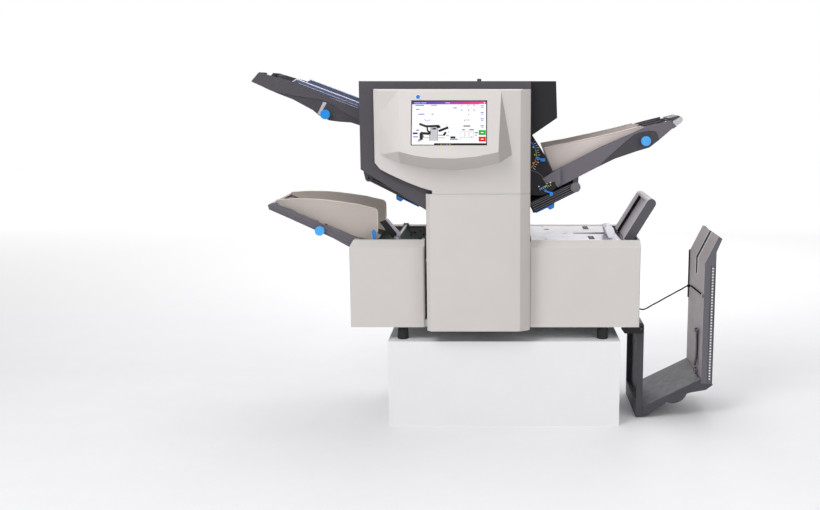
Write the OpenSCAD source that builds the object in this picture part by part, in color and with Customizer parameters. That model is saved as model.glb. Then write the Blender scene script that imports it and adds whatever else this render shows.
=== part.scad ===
// Folder inserter for a mailroom: it folds sheets from three feeders and puts them in envelopes.
// Millimetres. Origin on the table top under the middle of the column, +X to the right as the
// operator faces the screen, +Y to the rear, +Z up.

/* [Body] */
// Height of the rubber feet
foot_h = 40; // [38:1:42]
// Width of the central column
column_w = 300; // [296:1:302]
// Top of the column's lower cover, where the head panel starts
column_top = 443; // [441:1:445]
// Top of the head
head_top = 761; // [758:1:764]
// Distance from the centre plane to the modules' front and rear faces
module_half_d = 185; // [183:1:188]
// Top of the two side modules
module_top = 299; // [297:1:301]
// Thickness of the moulded covers
cover_t = 3; // [2.5:0.5:3.5]

/* [Trays] */
// Half the width of a sheet tray
tray_half_w = 135; // [134:1:137]
// Distance from the centre plane to a side guide, set for A4 or letter
guide_y = 110; // [100:1:115]
// Thickness of a side guide
guide_t = 2; // [1.5:0.5:3]
// Radius of the guide screws
screw_r = 4.5; // [4:0.5:5]
// Diameter of the blue guide knobs
knob_d = 28; // [24:1:30]

/* [Envelope path] */
// Half the width of the envelope support and the stacker
env_half_w = 125; // [123:1:126]
// Lean of the envelope support from upright
arm_lean = 31; // [28:1:32]
// Height that the stacker hangs below the table top
stacker_drop = 259; // [259:1:262]

/* [Hidden] */

round_fn = 48;
run_gap = 0.05;        // radial clearance of a shaft that turns in its hole
body_gap = 0.5;        // gap between neighbouring covers
half_col = column_w / 2;

// Depth planes of the fronts, nearest the operator first
panel_y = -240;        // head panel and column
head_front_y = -222;   // dark frame around the head panel
right_head_y = -190;   // black cover on the head's right
rear_y = 200;          // rear of the column and head

left_x0 = -381;        // outer end of the left module
left_x1 = -160;
right_x0 = 150.5;
right_x1 = 477;
chamfer_d = 20;        // chamfer along the top front edge of the modules
chamfer_side = 11;     // chamfer at the left module's outer end

// Colours
c_cover = [0.84, 0.82, 0.80];
c_dark = [0.36, 0.35, 0.38];
c_black = [0.20, 0.20, 0.21];
c_tray = [0.44, 0.42, 0.46];
c_guide = [0.74, 0.71, 0.67];
c_blue = [0.20, 0.58, 0.93];
c_steel = [0.72, 0.74, 0.73];
c_deck = [0.86, 0.85, 0.88];
c_rubber = [0.09, 0.09, 0.10];

// ---------- helpers ----------

// Extrudes an XZ outline between two depths
module slab(points, y0, y1) {
    translate([0, y1, 0])
        rotate([90, 0, 0])
            linear_extrude(y1 - y0)
                polygon(points);
}

// Cylinder along Y
module rod_y(x, z, r, y0, y1) {
    translate([x, y1, z])
        rotate([90, 0, 0])
            cylinder(r = r, h = y1 - y0, $fn = round_fn);
}

// Cylinder along X
module rod_x(y, z, r, x0, x1) {
    translate([x0, y, z])
        rotate([0, 90, 0])
            cylinder(r = r, h = x1 - x0, $fn = round_fn);
}

// Box given by its two corners
module block(a, b) {
    translate(a) cube(b - a);
}

// Plan view of a box with rounded corners
module round_rect(x0, y0, x1, y1, r) {
    translate([x0 + r, y0]) square([x1 - x0 - 2 * r, y1 - y0]);
    translate([x0, y0 + r]) square([x1 - x0, y1 - y0 - 2 * r]);
    for (x = [x0 + r, x1 - r], y = [y0 + r, y1 - r])
        translate([x, y]) circle(r = r, $fn = round_fn);
}

// Unit vector from a to b in the XZ plane
function unit(a, b) = (b - a) / norm(b - a);

// Two points at a distance d below the line from a to b, whose ends run left to right
function below(a, b, d) = let (u = unit(a, b)) [b + d * [u[1], -u[0]], a + d * [u[1], -u[0]]];

// Flat bar of thickness t under the line from a to b
module bar_under(a, b, t, y0, y1) {
    slab(concat([a, b], below(a, b, t)), y0, y1);
}

// Points of an arc, centre c, from angle a0 to a1
function arc(c, r, a0, a1, n = 8) =
    [for (i = [0 : n]) c + r * [cos(a0 + (a1 - a0) * i / n), sin(a0 + (a1 - a0) * i / n)]];

// ---------- base ----------

foot_r = 17;
foot_y = 158;
foot_places = [[-228, -foot_y], [-228, foot_y], [370, -foot_y], [370, foot_y], [0, 0]];
plate_t = 4;
stud_r = 4;
base_x0 = -368;
base_x1 = 465;
base_y = 176;

module base_plate() color(c_steel) {
    difference() {
        block([base_x0, -base_y, foot_h], [base_x1, base_y, foot_h + plate_t]);
        for (p = foot_places)
            translate([p[0], p[1], foot_h - 1])
                cylinder(r = stud_r + run_gap, h = plate_t + 2, $fn = round_fn);
    }
    for (s = [-1, 1])
        block([base_x0, min(s * base_y, s * (base_y - 2)), foot_h + plate_t],
              [base_x1, max(s * base_y, s * (base_y - 2)), foot_h + plate_t + 18]);
}

module foot() {
    rotate_extrude($fn = round_fn)
        polygon([[0, 0], [foot_r - 2, 0], [foot_r, 2], [foot_r - 2, foot_h - 6], [foot_r - 6, foot_h],
                 [0, foot_h]]);
    translate([0, 0, foot_h - 1]) cylinder(r = stud_r, h = plate_t + 11, $fn = round_fn);
    translate([0, 0, foot_h + plate_t]) cylinder(r = 7, h = 6, $fn = 6);
}

module feet() color(c_rubber) {
    for (p = foot_places) translate([p[0], p[1], 0]) foot();
}

// ---------- side modules ----------

// Outer body of a module: rounded in plan, with a chamfer along the top front edge
module module_solid(x0, x1, inset, r, side_chamfer) {
    z0 = foot_h;
    z1 = module_top - inset;
    y0 = -module_half_d + inset;
    intersection() {
        translate([0, 0, z0]) linear_extrude(z1 - z0)
            round_rect(x0 + inset, y0, x1 - inset, module_half_d - inset, r);
        translate([x0, 0, 0]) rotate([90, 0, 90]) linear_extrude(x1 - x0)
            polygon([[y0, z0 - 1], [y0, z1 - chamfer_d], [y0 + chamfer_d, z1 + 0.01],
                     [module_half_d, z1 + 0.01], [module_half_d, z0 - 1]]);
        slab([[x0 + inset, z0 - 1], [x0 + inset, z1 - side_chamfer * 1.8],
              [x0 + inset + side_chamfer, z1 + 0.02],
              [x1, z1 + 0.02], [x1, z0 - 1]], y0 - 1, module_half_d);
    }
}

left_open_x0 = left_x0 + 26;     // top opening of the left module
left_open_x1 = left_x1 - 8;
module_open_y0 = -150;
module_open_y1 = 150;

module left_cover() color(c_cover) difference() {
    module_solid(left_x0, left_x1, 0, 7, chamfer_side);
    translate([0, 0, -cover_t - 1]) module_solid(left_x0, left_x1, cover_t, 4, chamfer_side);
    module_solid(left_x0, left_x1, cover_t, 4, chamfer_side);
    block([left_open_x0, module_open_y0, module_top - 30], [left_open_x1, module_open_y1, module_top + 5]);
    // the lower left tray enters here
    block([left_x0 - 1, -tray_half_w - 3, 250], [left_open_x0 + 1, tray_half_w + 3, module_top + 5]);
    // the fold path passes into the column here
    block([left_x1 - 10, -tray_half_w, 225], [left_x1 + 1, tray_half_w, module_top + 5]);
    vents(left_x0 + 45, left_x1 - 45, module_half_d, 120);
    base_room(left_x1 - 12, left_x1 + 1);
}

// Room for the base plate and its flanges at the foot of a wall
module base_room(x0, x1) {
    block([x0, -base_y - 1, foot_h - 1], [x1, base_y + 1, floor_z + 19]);
}

// Cooling slots in a rear wall
module vents(x0, x1, y, z) {
    pitch = 9;
    for (i = [0 : 7])
        block([x0, y - 12, z + i * pitch], [x1, y + 5, z + i * pitch + 3]);
}

exit_z0 = 215;                   // envelope exit in the right module's end wall
exit_z1 = 262;

module right_cover() color(c_cover) difference() {
    module_solid(right_x0, right_x1, 0, 5, 5);
    translate([0, 0, -cover_t - 1]) module_solid(right_x0, right_x1, cover_t, 3, 5);
    module_solid(right_x0, right_x1, cover_t, 3, 5);
    block([right_x0 + 4, -165, module_top - 30], [right_x1 - 4, module_open_y1 + 1, module_top + 5]);
    block([right_x0 - 1, -tray_half_w, 190], [right_x0 + 6, tray_half_w, module_top + 5]);
    block([right_x1 - 8, -env_half_w, exit_z0], [right_x1 + 1, env_half_w, exit_z1]);
    vents(right_x0 + 70, right_x1 - 70, module_half_d, 120);
    base_room(right_x0 - 1, right_x0 + 8);
}

frame_y = 150;                   // outer face of the column's steel side plates
frame_half = 147;                // the same in the side modules
frame_t = 3;
floor_z = foot_h + plate_t;      // top of the base plate

tie_r = 5;

// Pair of steel side plates with the same outline, held apart by tie rods through both
module side_plates(points, ties, y) {
    difference() {
        for (s = [-1, 1]) slab(points, s > 0 ? y - frame_t : -y, s > 0 ? y : -y + frame_t);
        for (p = ties) rod_y(p[0], p[1], tie_r + run_gap, -200, 200);
    }
    for (p = ties) rod_y(p[0], p[1], tie_r, -y, y);
}

module left_frame() color([0.60, 0.66, 0.62]) difference() {
    side_plates([[-362, floor_z], [-362, 286], [-330, 288], [-290, 278], [-254, 288], [-250, 308],
                 [-234, 308], [-228, 289], [-200, 291], [-168, 291], [-168, floor_z]],
                [for (x = [-340, -190], z = [90, 225]) [x, z]], frame_half);
    // hole for the service handle
    rod_y(-180, 281, 5, -200, 200);
    rod_y(flap_pivot[0], flap_pivot[1], pivot_r + run_gap, -200, 200);
    rod_y(lever_pivot[0], lever_pivot[1], lever_pin_r + run_gap, -200, 0);
}

module right_frame() color(c_steel) difference() {
    side_plates([[158, floor_z], [158, deck_z - deck_t], [462, deck_z - deck_t], [462, floor_z]],
                [for (x = [180, 440], z = [90, 180]) [x, z]], frame_half);
    rod_y(roller_at[0], roller_at[1], roller_shaft_r + run_gap, -200, 200);
    rod_y(arm_pivot[0], arm_pivot[1], arm_rod_r + run_gap, -200, 200);
}

// ---------- column ----------

gear_m = 2;                      // gear module
fold_teeth = 24;
pinion_teeth = 12;
fold_pitch = gear_m * fold_teeth;            // distance between fold roller centres
roller_a = [0, 560];
roller_b = roller_a - [0, fold_pitch];
roller_c = roller_b + [fold_pitch, 0];
motor_at = roller_c + [gear_m * (fold_teeth + pinion_teeth) / 2 + 0.5, 0];
shaft_r = 6;
roller_r = fold_pitch / 2 - 0.2;

module column_frame() color(c_steel) difference() {
    side_plates([[-138, floor_z], [-138, 735], [138, 735], [138, floor_z]],
                [for (x = [-120, 120], z = [80, 260, 440, 720]) [x, z]], frame_y);
    for (p = [roller_a, roller_b, roller_c]) rod_y(p[0], p[1], shaft_r + run_gap, -200, 200);
}

bevel_l = 12;                    // front corner bevels, wider on the right
bevel_r = 29;
bevel_d = 18;                    // depth of the right bevel
col_join_y = -60;                // seam between the front and rear covers

module column_plan(inset) {
    polygon([[-half_col + inset, rear_y - inset], [-half_col + inset, panel_y + bevel_l + inset * 0.4],
             [-half_col + bevel_l + inset * 0.4, panel_y + inset],
             [half_col - bevel_r - inset * 0.4, panel_y + inset],
             [half_col - inset, panel_y + bevel_d + inset * 0.4], [half_col - inset, rear_y - inset]]);
}

module column_walls(z0, z1) {
    translate([0, 0, z0]) linear_extrude(z1 - z0) difference() {
        column_plan(0);
        column_plan(cover_t);
    }
}

path_z0 = 205;                   // paper path window between the column and a module
path_z1 = 294;
upper_path_z0 = 372;             // window behind the flaps

module column_windows() {
    for (z = [[path_z0, path_z1], [upper_path_z0, 425]])
        block([-half_col - 5, -128, z[0]], [half_col + 5, 128, z[1]]);
}

module column_front_cover() color(c_cover) difference() {
    column_walls(foot_h, column_top);
    block([-half_col - 5, col_join_y, 0], [half_col + 5, rear_y + 5, column_top + 5]);
    column_windows();
    base_room(-half_col - 5, half_col + 5);
}

module column_rear_cover() color(c_cover) difference() {
    column_walls(foot_h, column_top);
    block([-half_col - 5, panel_y - 5, 0], [half_col + 5, col_join_y + body_gap, column_top + 5]);
    column_windows();
    base_room(-half_col - 5, half_col + 5);
    vents(-90, 90, rear_y, 300);
    // opening for the power inlet
    block([inlet_x - 14, rear_y - 10, inlet_z - 11], [inlet_x + 14, rear_y + 5, inlet_z + 11]);
}

inlet_x = -90;
inlet_z = 80;

module power_inlet() color(c_black) {
    difference() {
        block([inlet_x - 13.5, rear_y - 30, inlet_z - 10.5], [inlet_x + 13.5, rear_y, inlet_z + 10.5]);
        block([inlet_x - 11.5, rear_y - 18, inlet_z - 8.5], [inlet_x + 11.5, rear_y + 5, inlet_z + 8.5]);
    }
    for (x = [-7, 0, 7])
        block([inlet_x + x - 1, rear_y - 19, inlet_z - 2 + (x == 0 ? 3 : 0)],
              [inlet_x + x + 1, rear_y - 4, inlet_z + 2 + (x == 0 ? 3 : 0)]);
    difference() {
        block([inlet_x - 18, rear_y, inlet_z - 15], [inlet_x + 18, rear_y + 2, inlet_z + 15]);
        block([inlet_x - 11.5, rear_y - 1, inlet_z - 8.5], [inlet_x + 11.5, rear_y + 5, inlet_z + 8.5]);
    }
}

// ---------- head ----------

head_l = -336;                   // left side of the head
head_r = 151;
head_side_z = 512;               // bottom of the head's left side
head_tip = [-half_col - 0.5, 395];
shell_t = 4;
lid_front_z = 741;               // bottom of the lid's front lip
lid_top_x0 = -236;
lid_low_x0 = -219;

head_outline = [[head_l, head_top], [head_l, head_side_z], head_tip, [head_tip[0], column_top + body_gap],
                [head_r, column_top + body_gap], [head_r, head_top]];

hinge_y = 186;
hinge_z = head_top - 11;
pin_r = 3;
lid_arm_x = [-190, 90];          // the lid's two hinge arms
lug_x = [-214, -166, 66, 114];   // lugs on the head shell beside them
left_pivot = [-321, 481];        // pivot of the left path flap
right_pivot = [286, 452];
pivot_r = 4;

module head_shell() color(c_dark) difference() {
    union() {
        // front and rear walls
        slab(head_outline, head_front_y, head_front_y + shell_t);
        slab(head_outline, rear_y - shell_t, rear_y);
        // left and right walls
        block([head_l, head_front_y, head_side_z], [head_l + shell_t, rear_y, head_top]);
        block([head_r - shell_t, head_front_y, column_top + body_gap], [head_r, rear_y, head_top]);
        // top strips beside and behind the lid
        block([head_l, head_front_y, head_top - shell_t], [lid_top_x0 - body_gap, rear_y, head_top]);
        block([head_l, hinge_y - 4, head_top - shell_t], [head_r, rear_y, head_top]);
        // lugs for the lid's hinge pin
        for (x = lug_x) difference() {
            union() {
                rod_x(hinge_y, hinge_z, 6, x, x + 12);
                block([x, hinge_y, hinge_z - 6], [x + 12, rear_y - 1, hinge_z + 6]);
            }
            rod_x(hinge_y, hinge_z, pin_r, x - 1, x + 13);
        }
        // hangers for the left path flap
        for (s = [-1, 1]) difference() {
            slab([[head_l, 560], [head_l, 497], [-331, 476], [-325, 471], [-317, 471], [-311, 476],
                  [-306, 492], [-306, 560]],
                 s > 0 ? 152 : -158, s > 0 ? 158 : -152);
            rod_y(left_pivot[0], left_pivot[1], pivot_r + run_gap, -200, 200);
        }
    }
    // room for the lid
    slab([[lid_top_x0 - 3 * body_gap, head_top + 1], [lid_low_x0 - body_gap, lid_front_z - body_gap],
          [head_r + 1, lid_front_z - body_gap], [head_r + 1, head_top + 1]], head_front_y - 1, hinge_y - 4);
    for (x = lid_arm_x)
        block([x - 11, hinge_y - 20, hinge_z + 7], [x + 11, rear_y - shell_t, head_top + 1]);
    // sheet inlets
    block([head_l - 1, -116, 650], [head_l + 5, 116, 704]);
    block([head_r - 5, -130, 455], [head_r + 1, 130, 600]);
    vents(-90, 90, rear_y, 600);
}

module lid_hinge_pin() color(c_steel) {
    rod_x(hinge_y, hinge_z, pin_r, -214, 126);
}

lid_y0 = head_front_y;
lid_y1 = hinge_y - 10;

module top_cover() color(c_dark) {
    lid_r = head_r - body_gap;
    outline = [[lid_top_x0, head_top], [lid_low_x0, lid_front_z], [lid_r, lid_front_z], [lid_r, head_top]];
    // front lip, top plate and right lip
    slab(outline, lid_y0, lid_y0 + shell_t);
    block([lid_top_x0 + 4, lid_y0, head_top - shell_t], [lid_r, lid_y1, head_top]);
    block([lid_r - shell_t, lid_y0, lid_front_z], [lid_r, lid_y1 - 12, head_top]);
    // small grip knob at the front
    translate([4, -208, head_top]) cylinder(r = 6, h = 6.5, $fn = round_fn);
    // hinge arms
    for (x = lid_arm_x) difference() {
        union() {
            translate([x - 8, 0, 0]) rotate([90, 0, 90]) linear_extrude(16)
                polygon([[lid_y1 - 26, head_top - 1], [lid_y1 - 26, head_top - 8], [hinge_y, hinge_z - 6],
                         [hinge_y, hinge_z + 4], [lid_y1, head_top - 1]]);
            rod_x(hinge_y, hinge_z, 6, x - 8, x + 8);
        }
        rod_x(hinge_y, hinge_z, pin_r + run_gap, x - 9, x + 9);
    }
}

module head_right_cover() color(c_black) difference() {
    outline = [[head_r + body_gap, head_top], [head_r + body_gap, 605], [227, 657], [223, head_top]];
    slab(outline, right_head_y, rear_y);
    slab([[head_r, head_top - 4], [head_r, 600], [head_r + 5, 609], [223.5, 659], [219.5, head_top - 4]],
         right_head_y + 4, rear_y - 4);
    vents(165, 210, rear_y, 680);
}

// Outline of the head panel, with the sweep from its left edge down to the column
panel_x0 = -294;
panel_outline = [
    [120, column_top + body_gap], [149.5, column_top + body_gap], [149.5, 739], [panel_x0, 739],
    [panel_x0, 532],
    [-277, 513.5], [-254, 501], [-224, 487], [-197, 475], [-167, 463.5], [-144, 456], [-131, 453],
    [-131, column_top + body_gap]
];
panel_bevel = [13, 8];           // bevel along the panel's left edge

module head_panel() color(c_cover) difference() {
    intersection() {
        slab(panel_outline, panel_y, head_front_y);
        // wide bevels on both sides
        linear_extrude(800)
            polygon([[panel_x0, head_front_y + 1], [panel_x0, panel_y + panel_bevel[1]],
                     [panel_x0 + panel_bevel[0], panel_y],
                     [half_col - bevel_r, panel_y], [half_col - body_gap, head_front_y - 0.5],
                     [half_col - body_gap, head_front_y + 1]]);
        // small bevel along the top
        translate([-300, 0, 0]) rotate([90, 0, 90]) linear_extrude(500)
            polygon([[panel_y, 400], [panel_y, 735], [panel_y + 4, 739], [head_front_y + 1, 740],
                     [head_front_y + 1, 400]]);
    }
    // hollow behind
    slab([[-286, 733], [-286, 533], [-240, 501], [-180, 474], [-125, 457], [112, 452], [112, 733]],
         panel_y + 3 + panel_bevel[1] / 2, head_front_y + 1);
}

disp_top_z = 735;
disp_low_z = 566;
disp_out = 58;                   // how far the housing's lower edge stands out
disp_tilt = atan(disp_out / (disp_top_z - disp_low_z));
disp_back = [[-222, 734], [66, 732], [97, 556], [62, 532], [-5, 517], [-75, 511.5], [-145, 517],
             [-221, 532], [-277, 556], [-277, 668]];
disp_brow = [[58, 566], [-5, 554], [-64, 549], [-131, 550.5], [-176, 557], [-220, 568]];
disp_c = [-79, 640];             // point that the inner wall closes in on

// Depth of the housing's face at a height
function face_y(z) = panel_y - (disp_top_z - z) * disp_out / (disp_top_z - disp_low_z);

// Point p moved in by d towards the middle of the housing
function inward(p, d) = p + d * unit(p, disp_c);

module housing_body(inset) {
    hull() {
        for (p = disp_back) let (q = inward(p, inset))
            translate([q[0], panel_y - 0.25, q[1]]) cube(0.5, center = true);
        for (p = disp_brow) let (q = inward(p, inset))
            translate([q[0], face_y(q[1]) + inset - 0.25, q[1]]) cube(0.5, center = true);
    }
}

screen_w = 212;
screen_h = 130;
screen_c = [-79.5, 646];         // centre of the screen in X and Z
screen_t = 5;

// Places its children on the housing's tilted face, x across and y up
module on_face(x, z) {
    translate([x, face_y(z), z]) rotate([90 - disp_tilt, 0, 0]) children();
}

module display_housing() color(c_cover) difference() {
    housing_body(0);
    translate([0, 1.2, 0]) housing_body(5);
    on_face(screen_c[0], screen_c[1])
        translate([-screen_w / 2 - 0.3, -screen_h / 2 - 0.3, -12]) cube([screen_w + 0.6, screen_h + 0.6, 20]);
    on_face(button_x, button_z) translate([0, 0, -12]) cylinder(r = 5.9, h = 20, $fn = round_fn);
}

module display_screen() color(c_black) on_face(screen_c[0], screen_c[1]) {
    translate([-screen_w / 2, -screen_h / 2, -screen_t]) cube([screen_w, screen_h, screen_t + 0.8]);
}

button_x = -167;
button_z = 717;

module power_button() color(c_blue) on_face(button_x, button_z) {
    translate([0, 0, -3]) cylinder(r = 5.5, h = 5.2, $fn = round_fn);
}

// ---------- tray parts shared by the three feeders ----------

cheek_t = 5;

// Tray side walls, with a boss for the guide screw
module cheeks(points, screw_at) {
    difference() {
        union() {
            for (s = [-1, 1]) {
                y0 = s > 0 ? tray_half_w - cheek_t : -tray_half_w;
                slab(points, y0, y0 + cheek_t);
                rod_y(screw_at[0], screw_at[1], screw_r + 5, y0, y0 + cheek_t);
            }
        }
        rod_y(screw_at[0], screw_at[1], screw_r + run_gap, -200, 200);
    }
}

// Tray floor along a path, with two pairs of slots for the guides' feet
module tray_floor(path, t, slot_x) {
    difference() {
        for (i = [0 : len(path) - 2])
            bar_under(path[i], path[i + 1] + 0.8 * unit(path[i], path[i + 1]), t,
                      -tray_half_w + cheek_t - 0.5, tray_half_w - cheek_t + 0.5);
        for (s = [-1, 1])
            block([slot_x - foot_half - 1.5, s > 0 ? 60 : -130, 0],
                  [slot_x + foot_half + 1.5, s > 0 ? 130 : -60, 900]);
    }
}

foot_half = 8;                   // half the width of a guide's foot

// Side guide: an upright sheet with a foot that rides on the guide screw
module guide(points, side, screw_at, foot_top) {
    y0 = side > 0 ? guide_y : -guide_y - guide_t;
    slab(points, y0, y0 + guide_t);
    difference() {
        union() {
            block([screw_at[0] - foot_half, y0, screw_at[1]],
                  [screw_at[0] + foot_half, y0 + guide_t, foot_top]);
            rod_y(screw_at[0], screw_at[1], foot_half, y0 - 3, y0 + guide_t + 3);
        }
        rod_y(screw_at[0], screw_at[1], screw_r + run_gap, -200, 200);
    }
}

module guide_screw(screw_at) color(c_steel) {
    rod_y(screw_at[0], screw_at[1], screw_r, -144, tray_half_w + 3);
}

knob_y0 = -160;

// Blue knob pressed on the front end of a guide screw, with grip flutes
module guide_knob(screw_at) color(c_blue) difference() {
    union() {
        rod_y(screw_at[0], screw_at[1], knob_d / 2, knob_y0, knob_y0 + 15);
        rod_y(screw_at[0], screw_at[1], 8, knob_y0 + 14, -tray_half_w - 1);
    }
    rod_y(screw_at[0], screw_at[1], screw_r, -144, -100);
    for (a = [0 : 30 : 359])
        rod_y(screw_at[0] + (knob_d / 2 + 1.4) * cos(a), screw_at[1] + (knob_d / 2 + 1.4) * sin(a), 2.4,
              knob_y0 + 3, knob_y0 + 16);
}

// ---------- upper left feeder ----------

ul_screw = [-444, 666];
ul_top = [[-660, 760], [-636, 787], [-589, 773], [-537, 759], [-456, 725], [head_l, 673]];
ul_low = [[head_l, 630], [-374, 642], [-406, 644], [-436, 648], [-465, 662], [-484, 678], [-541, 709],
          [-585, 726]];
ul_path = [[-646, 768], [-589, 756], [-537, 743], [-456, 709], [-338, 658]];

module upper_left_tray() color(c_tray) {
    cheeks(concat(ul_top, ul_low), ul_screw);
    tray_floor(ul_path, 4, ul_screw[0]);
    // end lip, with a gap for the extension
    difference() {
        slab([[-660, 760], [-636, 787], [-630, 785], [-646, 757]], -tray_half_w, tray_half_w);
        block([-700, -52, 700], [-600, 52, 800]);
    }
    // flanges that bolt to the head
    for (s = [-1, 1])
        block([head_l - 5, s > 0 ? 118 : -tray_half_w, 634], [head_l, s > 0 ? tray_half_w : -118, 670]);
}

module upper_left_guide_front() color([0.55, 0.60, 0.72])
    guide([[-544, 749], [-544, 759], [-532, 767], [-350, 698], [-350, 668], [-456, 713]], -1, ul_screw, 712);

module upper_left_guide_rear() color([0.55, 0.60, 0.72])
    guide([[-544, 749], [-544, 759], [-532, 767], [-350, 698], [-350, 668], [-456, 713]], 1, ul_screw, 712);

module upper_left_screw() guide_screw(ul_screw);
module upper_left_knob() guide_knob(ul_screw);

// Paper stop that pulls out past the tray's end
module upper_left_extension() color(c_dark) {
    bar_under([-604, 763.7], [-500, 738.5], 3, -45, 45);
    slab([[-606, 761], [-601, 781], [-592, 779], [-598, 761]], -50, 50);
}

// ---------- lower left feeder ----------

ll_screw = [-470, 325];
ll_top = [[-626, 399], [-615, 405], [-603, 405], [-368, 300], [-320, 279]];
ll_low = [[-320, 266], [-378, 271], [-390, 275], [-452, 310], [-489, 326], [-622, 386]];
ll_path = [[-618, 397], [-603, 395], [-368, 290], [-322, 272]];

module lower_left_tray() color(c_tray) {
    cheeks(concat(ll_top, ll_low), ll_screw);
    tray_floor(ll_path, 4, ll_screw[0]);
    slab([[-626, 399], [-615, 405], [-610, 402], [-618, 390], [-622, 388]], -tray_half_w, tray_half_w);
    // studs that hang the tray on the left frame
    for (s = [-1, 1])
        rod_y(-342, 277, 5, s > 0 ? 132 : frame_t - frame_half, s > 0 ? frame_half - frame_t : -132);
}

ll_guide_points = concat(
    [[-608, 406], [-602, 412], [-545, 415], [-486, 414], [-420, 407], [-365, 399], [-324, 389]],
    arc([-316, 374], 13, 80, 10, 4), [[-303, 340], [-307, 290], [-368, 301]]);

module lower_left_guide_front() color(c_guide) guide(ll_guide_points, -1, ll_screw, 352);
module lower_left_guide_rear() color(c_guide) guide(ll_guide_points, 1, ll_screw, 352);
module lower_left_screw() guide_screw(ll_screw);
module lower_left_knob() guide_knob(ll_screw);

lever_pivot = [-300, 262];
lever_pin_r = 3;

// Release lever beside the feeder's mouth
module lower_left_lever() color(c_blue) {
    slab([[-318, 321], [-315, 326], [-309, 326], [-306, 320], [-305, 300], [-297, 268], [-296, 258],
          [-304, 257], [-315, 298]], -142, -137);
    rod_y(lever_pivot[0], lever_pivot[1], lever_pin_r, -frame_half - 1, -137);
}

flap_pivot = [-242, 300];

// Pale cover over the feed roller, hinged on its lower edge
module lower_left_flap() color(c_deck) {
    slab([[-277, 352], [-284, 347], [-246, 299], [-238, 306]], -100, -72);
    rod_y(flap_pivot[0], flap_pivot[1], 5, -100, 100);
    rod_y(flap_pivot[0], flap_pivot[1], pivot_r, -frame_half, frame_half);
}

// ---------- right feeder ----------

r_screw = [488, 589];
r_top = [[192, 483], [222, 501], [357, 570], [460, 615], [488, 629], [521, 638], [561, 648], [580, 631]];
r_low = [[568, 625], [527, 589], [501, 569], [461, 557], [400, 536], [351, 512], [266, 468], [233, 452]];
r_path = [[206, 480], [342, 549], [442, 592], [484, 612], [566, 633]];

module right_tray() color(c_tray) {
    difference() {
        union() {
            cheeks(concat(r_top, r_low), r_screw);
            // lugs that hold the right path flap
            for (s = [-1, 1])
                slab([[279, 484], [279.5, 449], [283, 445.5], [289, 445.5], [292.5, 449], [295, 487]],
                     s > 0 ? 130 : -135, s > 0 ? 135 : -130);
        }
        rod_y(right_pivot[0], right_pivot[1], pivot_r + run_gap, -200, 200);
    }
    tray_floor(r_path, 4, r_screw[0]);
    // end lip, with a gap for the extension
    difference() {
        slab([[560, 633], [561, 648], [580, 631], [570, 624]], -tray_half_w, tray_half_w);
        block([550, -64, 600], [600, 64, 700]);
    }
    // guide blocks for the extension's rods
    for (y = [-ext_rod_y, ext_rod_y]) difference() {
        slab([[546, 626], [546, 650], [558, 653], [558, 629]], y - 6, y + 6);
        ext_rod(y, ext_rod_r + run_gap);
    }
    // studs that hang the tray between the feeder's side plates
    for (s = [-1, 1]) rod_y(208, 482, 6, s > 0 ? 132 : 2 - plate_y, s > 0 ? plate_y - 2 : -132);
}

ext_rod_y = 45;
ext_rod_r = 2.5;

// One rod of the pull-out stop
module ext_rod(y, r) {
    translate([492, y, 630]) rotate([0, 90 - atan2(r_slide[1], r_slide[0]), 0])
        cylinder(r = r, h = 92, $fn = round_fn);
}

r_guide_points = [[222, 494], [192, 568], [262, 580], [355, 600], [417, 614], [479, 630], [505, 627],
                  [478, 614], [442, 597], [350, 557]];

module right_guide_front() color(c_guide) guide(r_guide_points, -1, r_screw, 626);
module right_guide_rear() color(c_guide) guide(r_guide_points, 1, r_screw, 626);
module right_screw() guide_screw(r_screw);
module right_knob() guide_knob(r_screw);

r_slide = unit([486, 630], [540, 642]);

// Pull-out stop: two rods, a plate and a grey end clip
module right_extension() color(c_dark) {
    for (y = [-ext_rod_y, ext_rod_y]) ext_rod(y, ext_rod_r);
    slab([[568, 652], [598, 660], [611, 652], [585, 631], [580, 643]], -60, 60);
}

plate_y = 148;                   // centre of each feeder side plate

// Side plates that carry the right tray and the separator
module right_feeder_plates() color(c_dark) difference() {
    union() {
        for (s = [-1, 1])
            slab([[152, 432], [152, 598], [162, 598], [181, 569], [199.5, 539], [215.5, 502], [222, 478],
                  [231, 455], [216, 441], [188, 430], [170, 430]],
                 s > 0 ? plate_y - 2 : -plate_y - 2, s > 0 ? plate_y + 2 : -plate_y + 2);
        // raised block behind the gap lever
        slab([[176.5, 445], [174.5, 457], [223.5, 470.7], [229, 455], [216, 443], [188.4, 432]],
             -plate_y - 5, -plate_y - 1);
    }
    rod_y(sep_pivot[0], sep_pivot[1], 4 + run_gap, -200, 200);
    rod_y(gap_pivot[0], gap_pivot[1], 4 + run_gap, -200, 200);
}

sep_pivot = [172, 540];
gap_pivot = [196, 444];

// Separation lever: turns on a stub through the front plate
module separation_lever() color(c_blue) {
    rod_y(sep_pivot[0], sep_pivot[1], 4, -plate_y - 2.5, -140);
    rod_y(sep_pivot[0], sep_pivot[1], 2.5, -156, -plate_y);
    slab([[169, 542], [169, 538], [181, 534.5], [181, 530], [195, 530], [195, 539], [182, 539]], -156, -151);
}

module gap_lever() color(c_blue) {
    rod_y(gap_pivot[0], gap_pivot[1], 4, -plate_y - 5.5, -140);
    rod_y(gap_pivot[0], gap_pivot[1], 2.5, -159, -plate_y);
    slab([[193, 446.5], [193, 442.5], [209, 436.5], [210, 429], [218, 430], [218, 440],
          [210, 441]], -159, -154);
}

// ---------- hinged paper path flaps ----------

left_flap_end = [-157, 400];
right_flap_end = [155, 389];

flap_skin = 3;
flap_ribs = 5;

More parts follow.
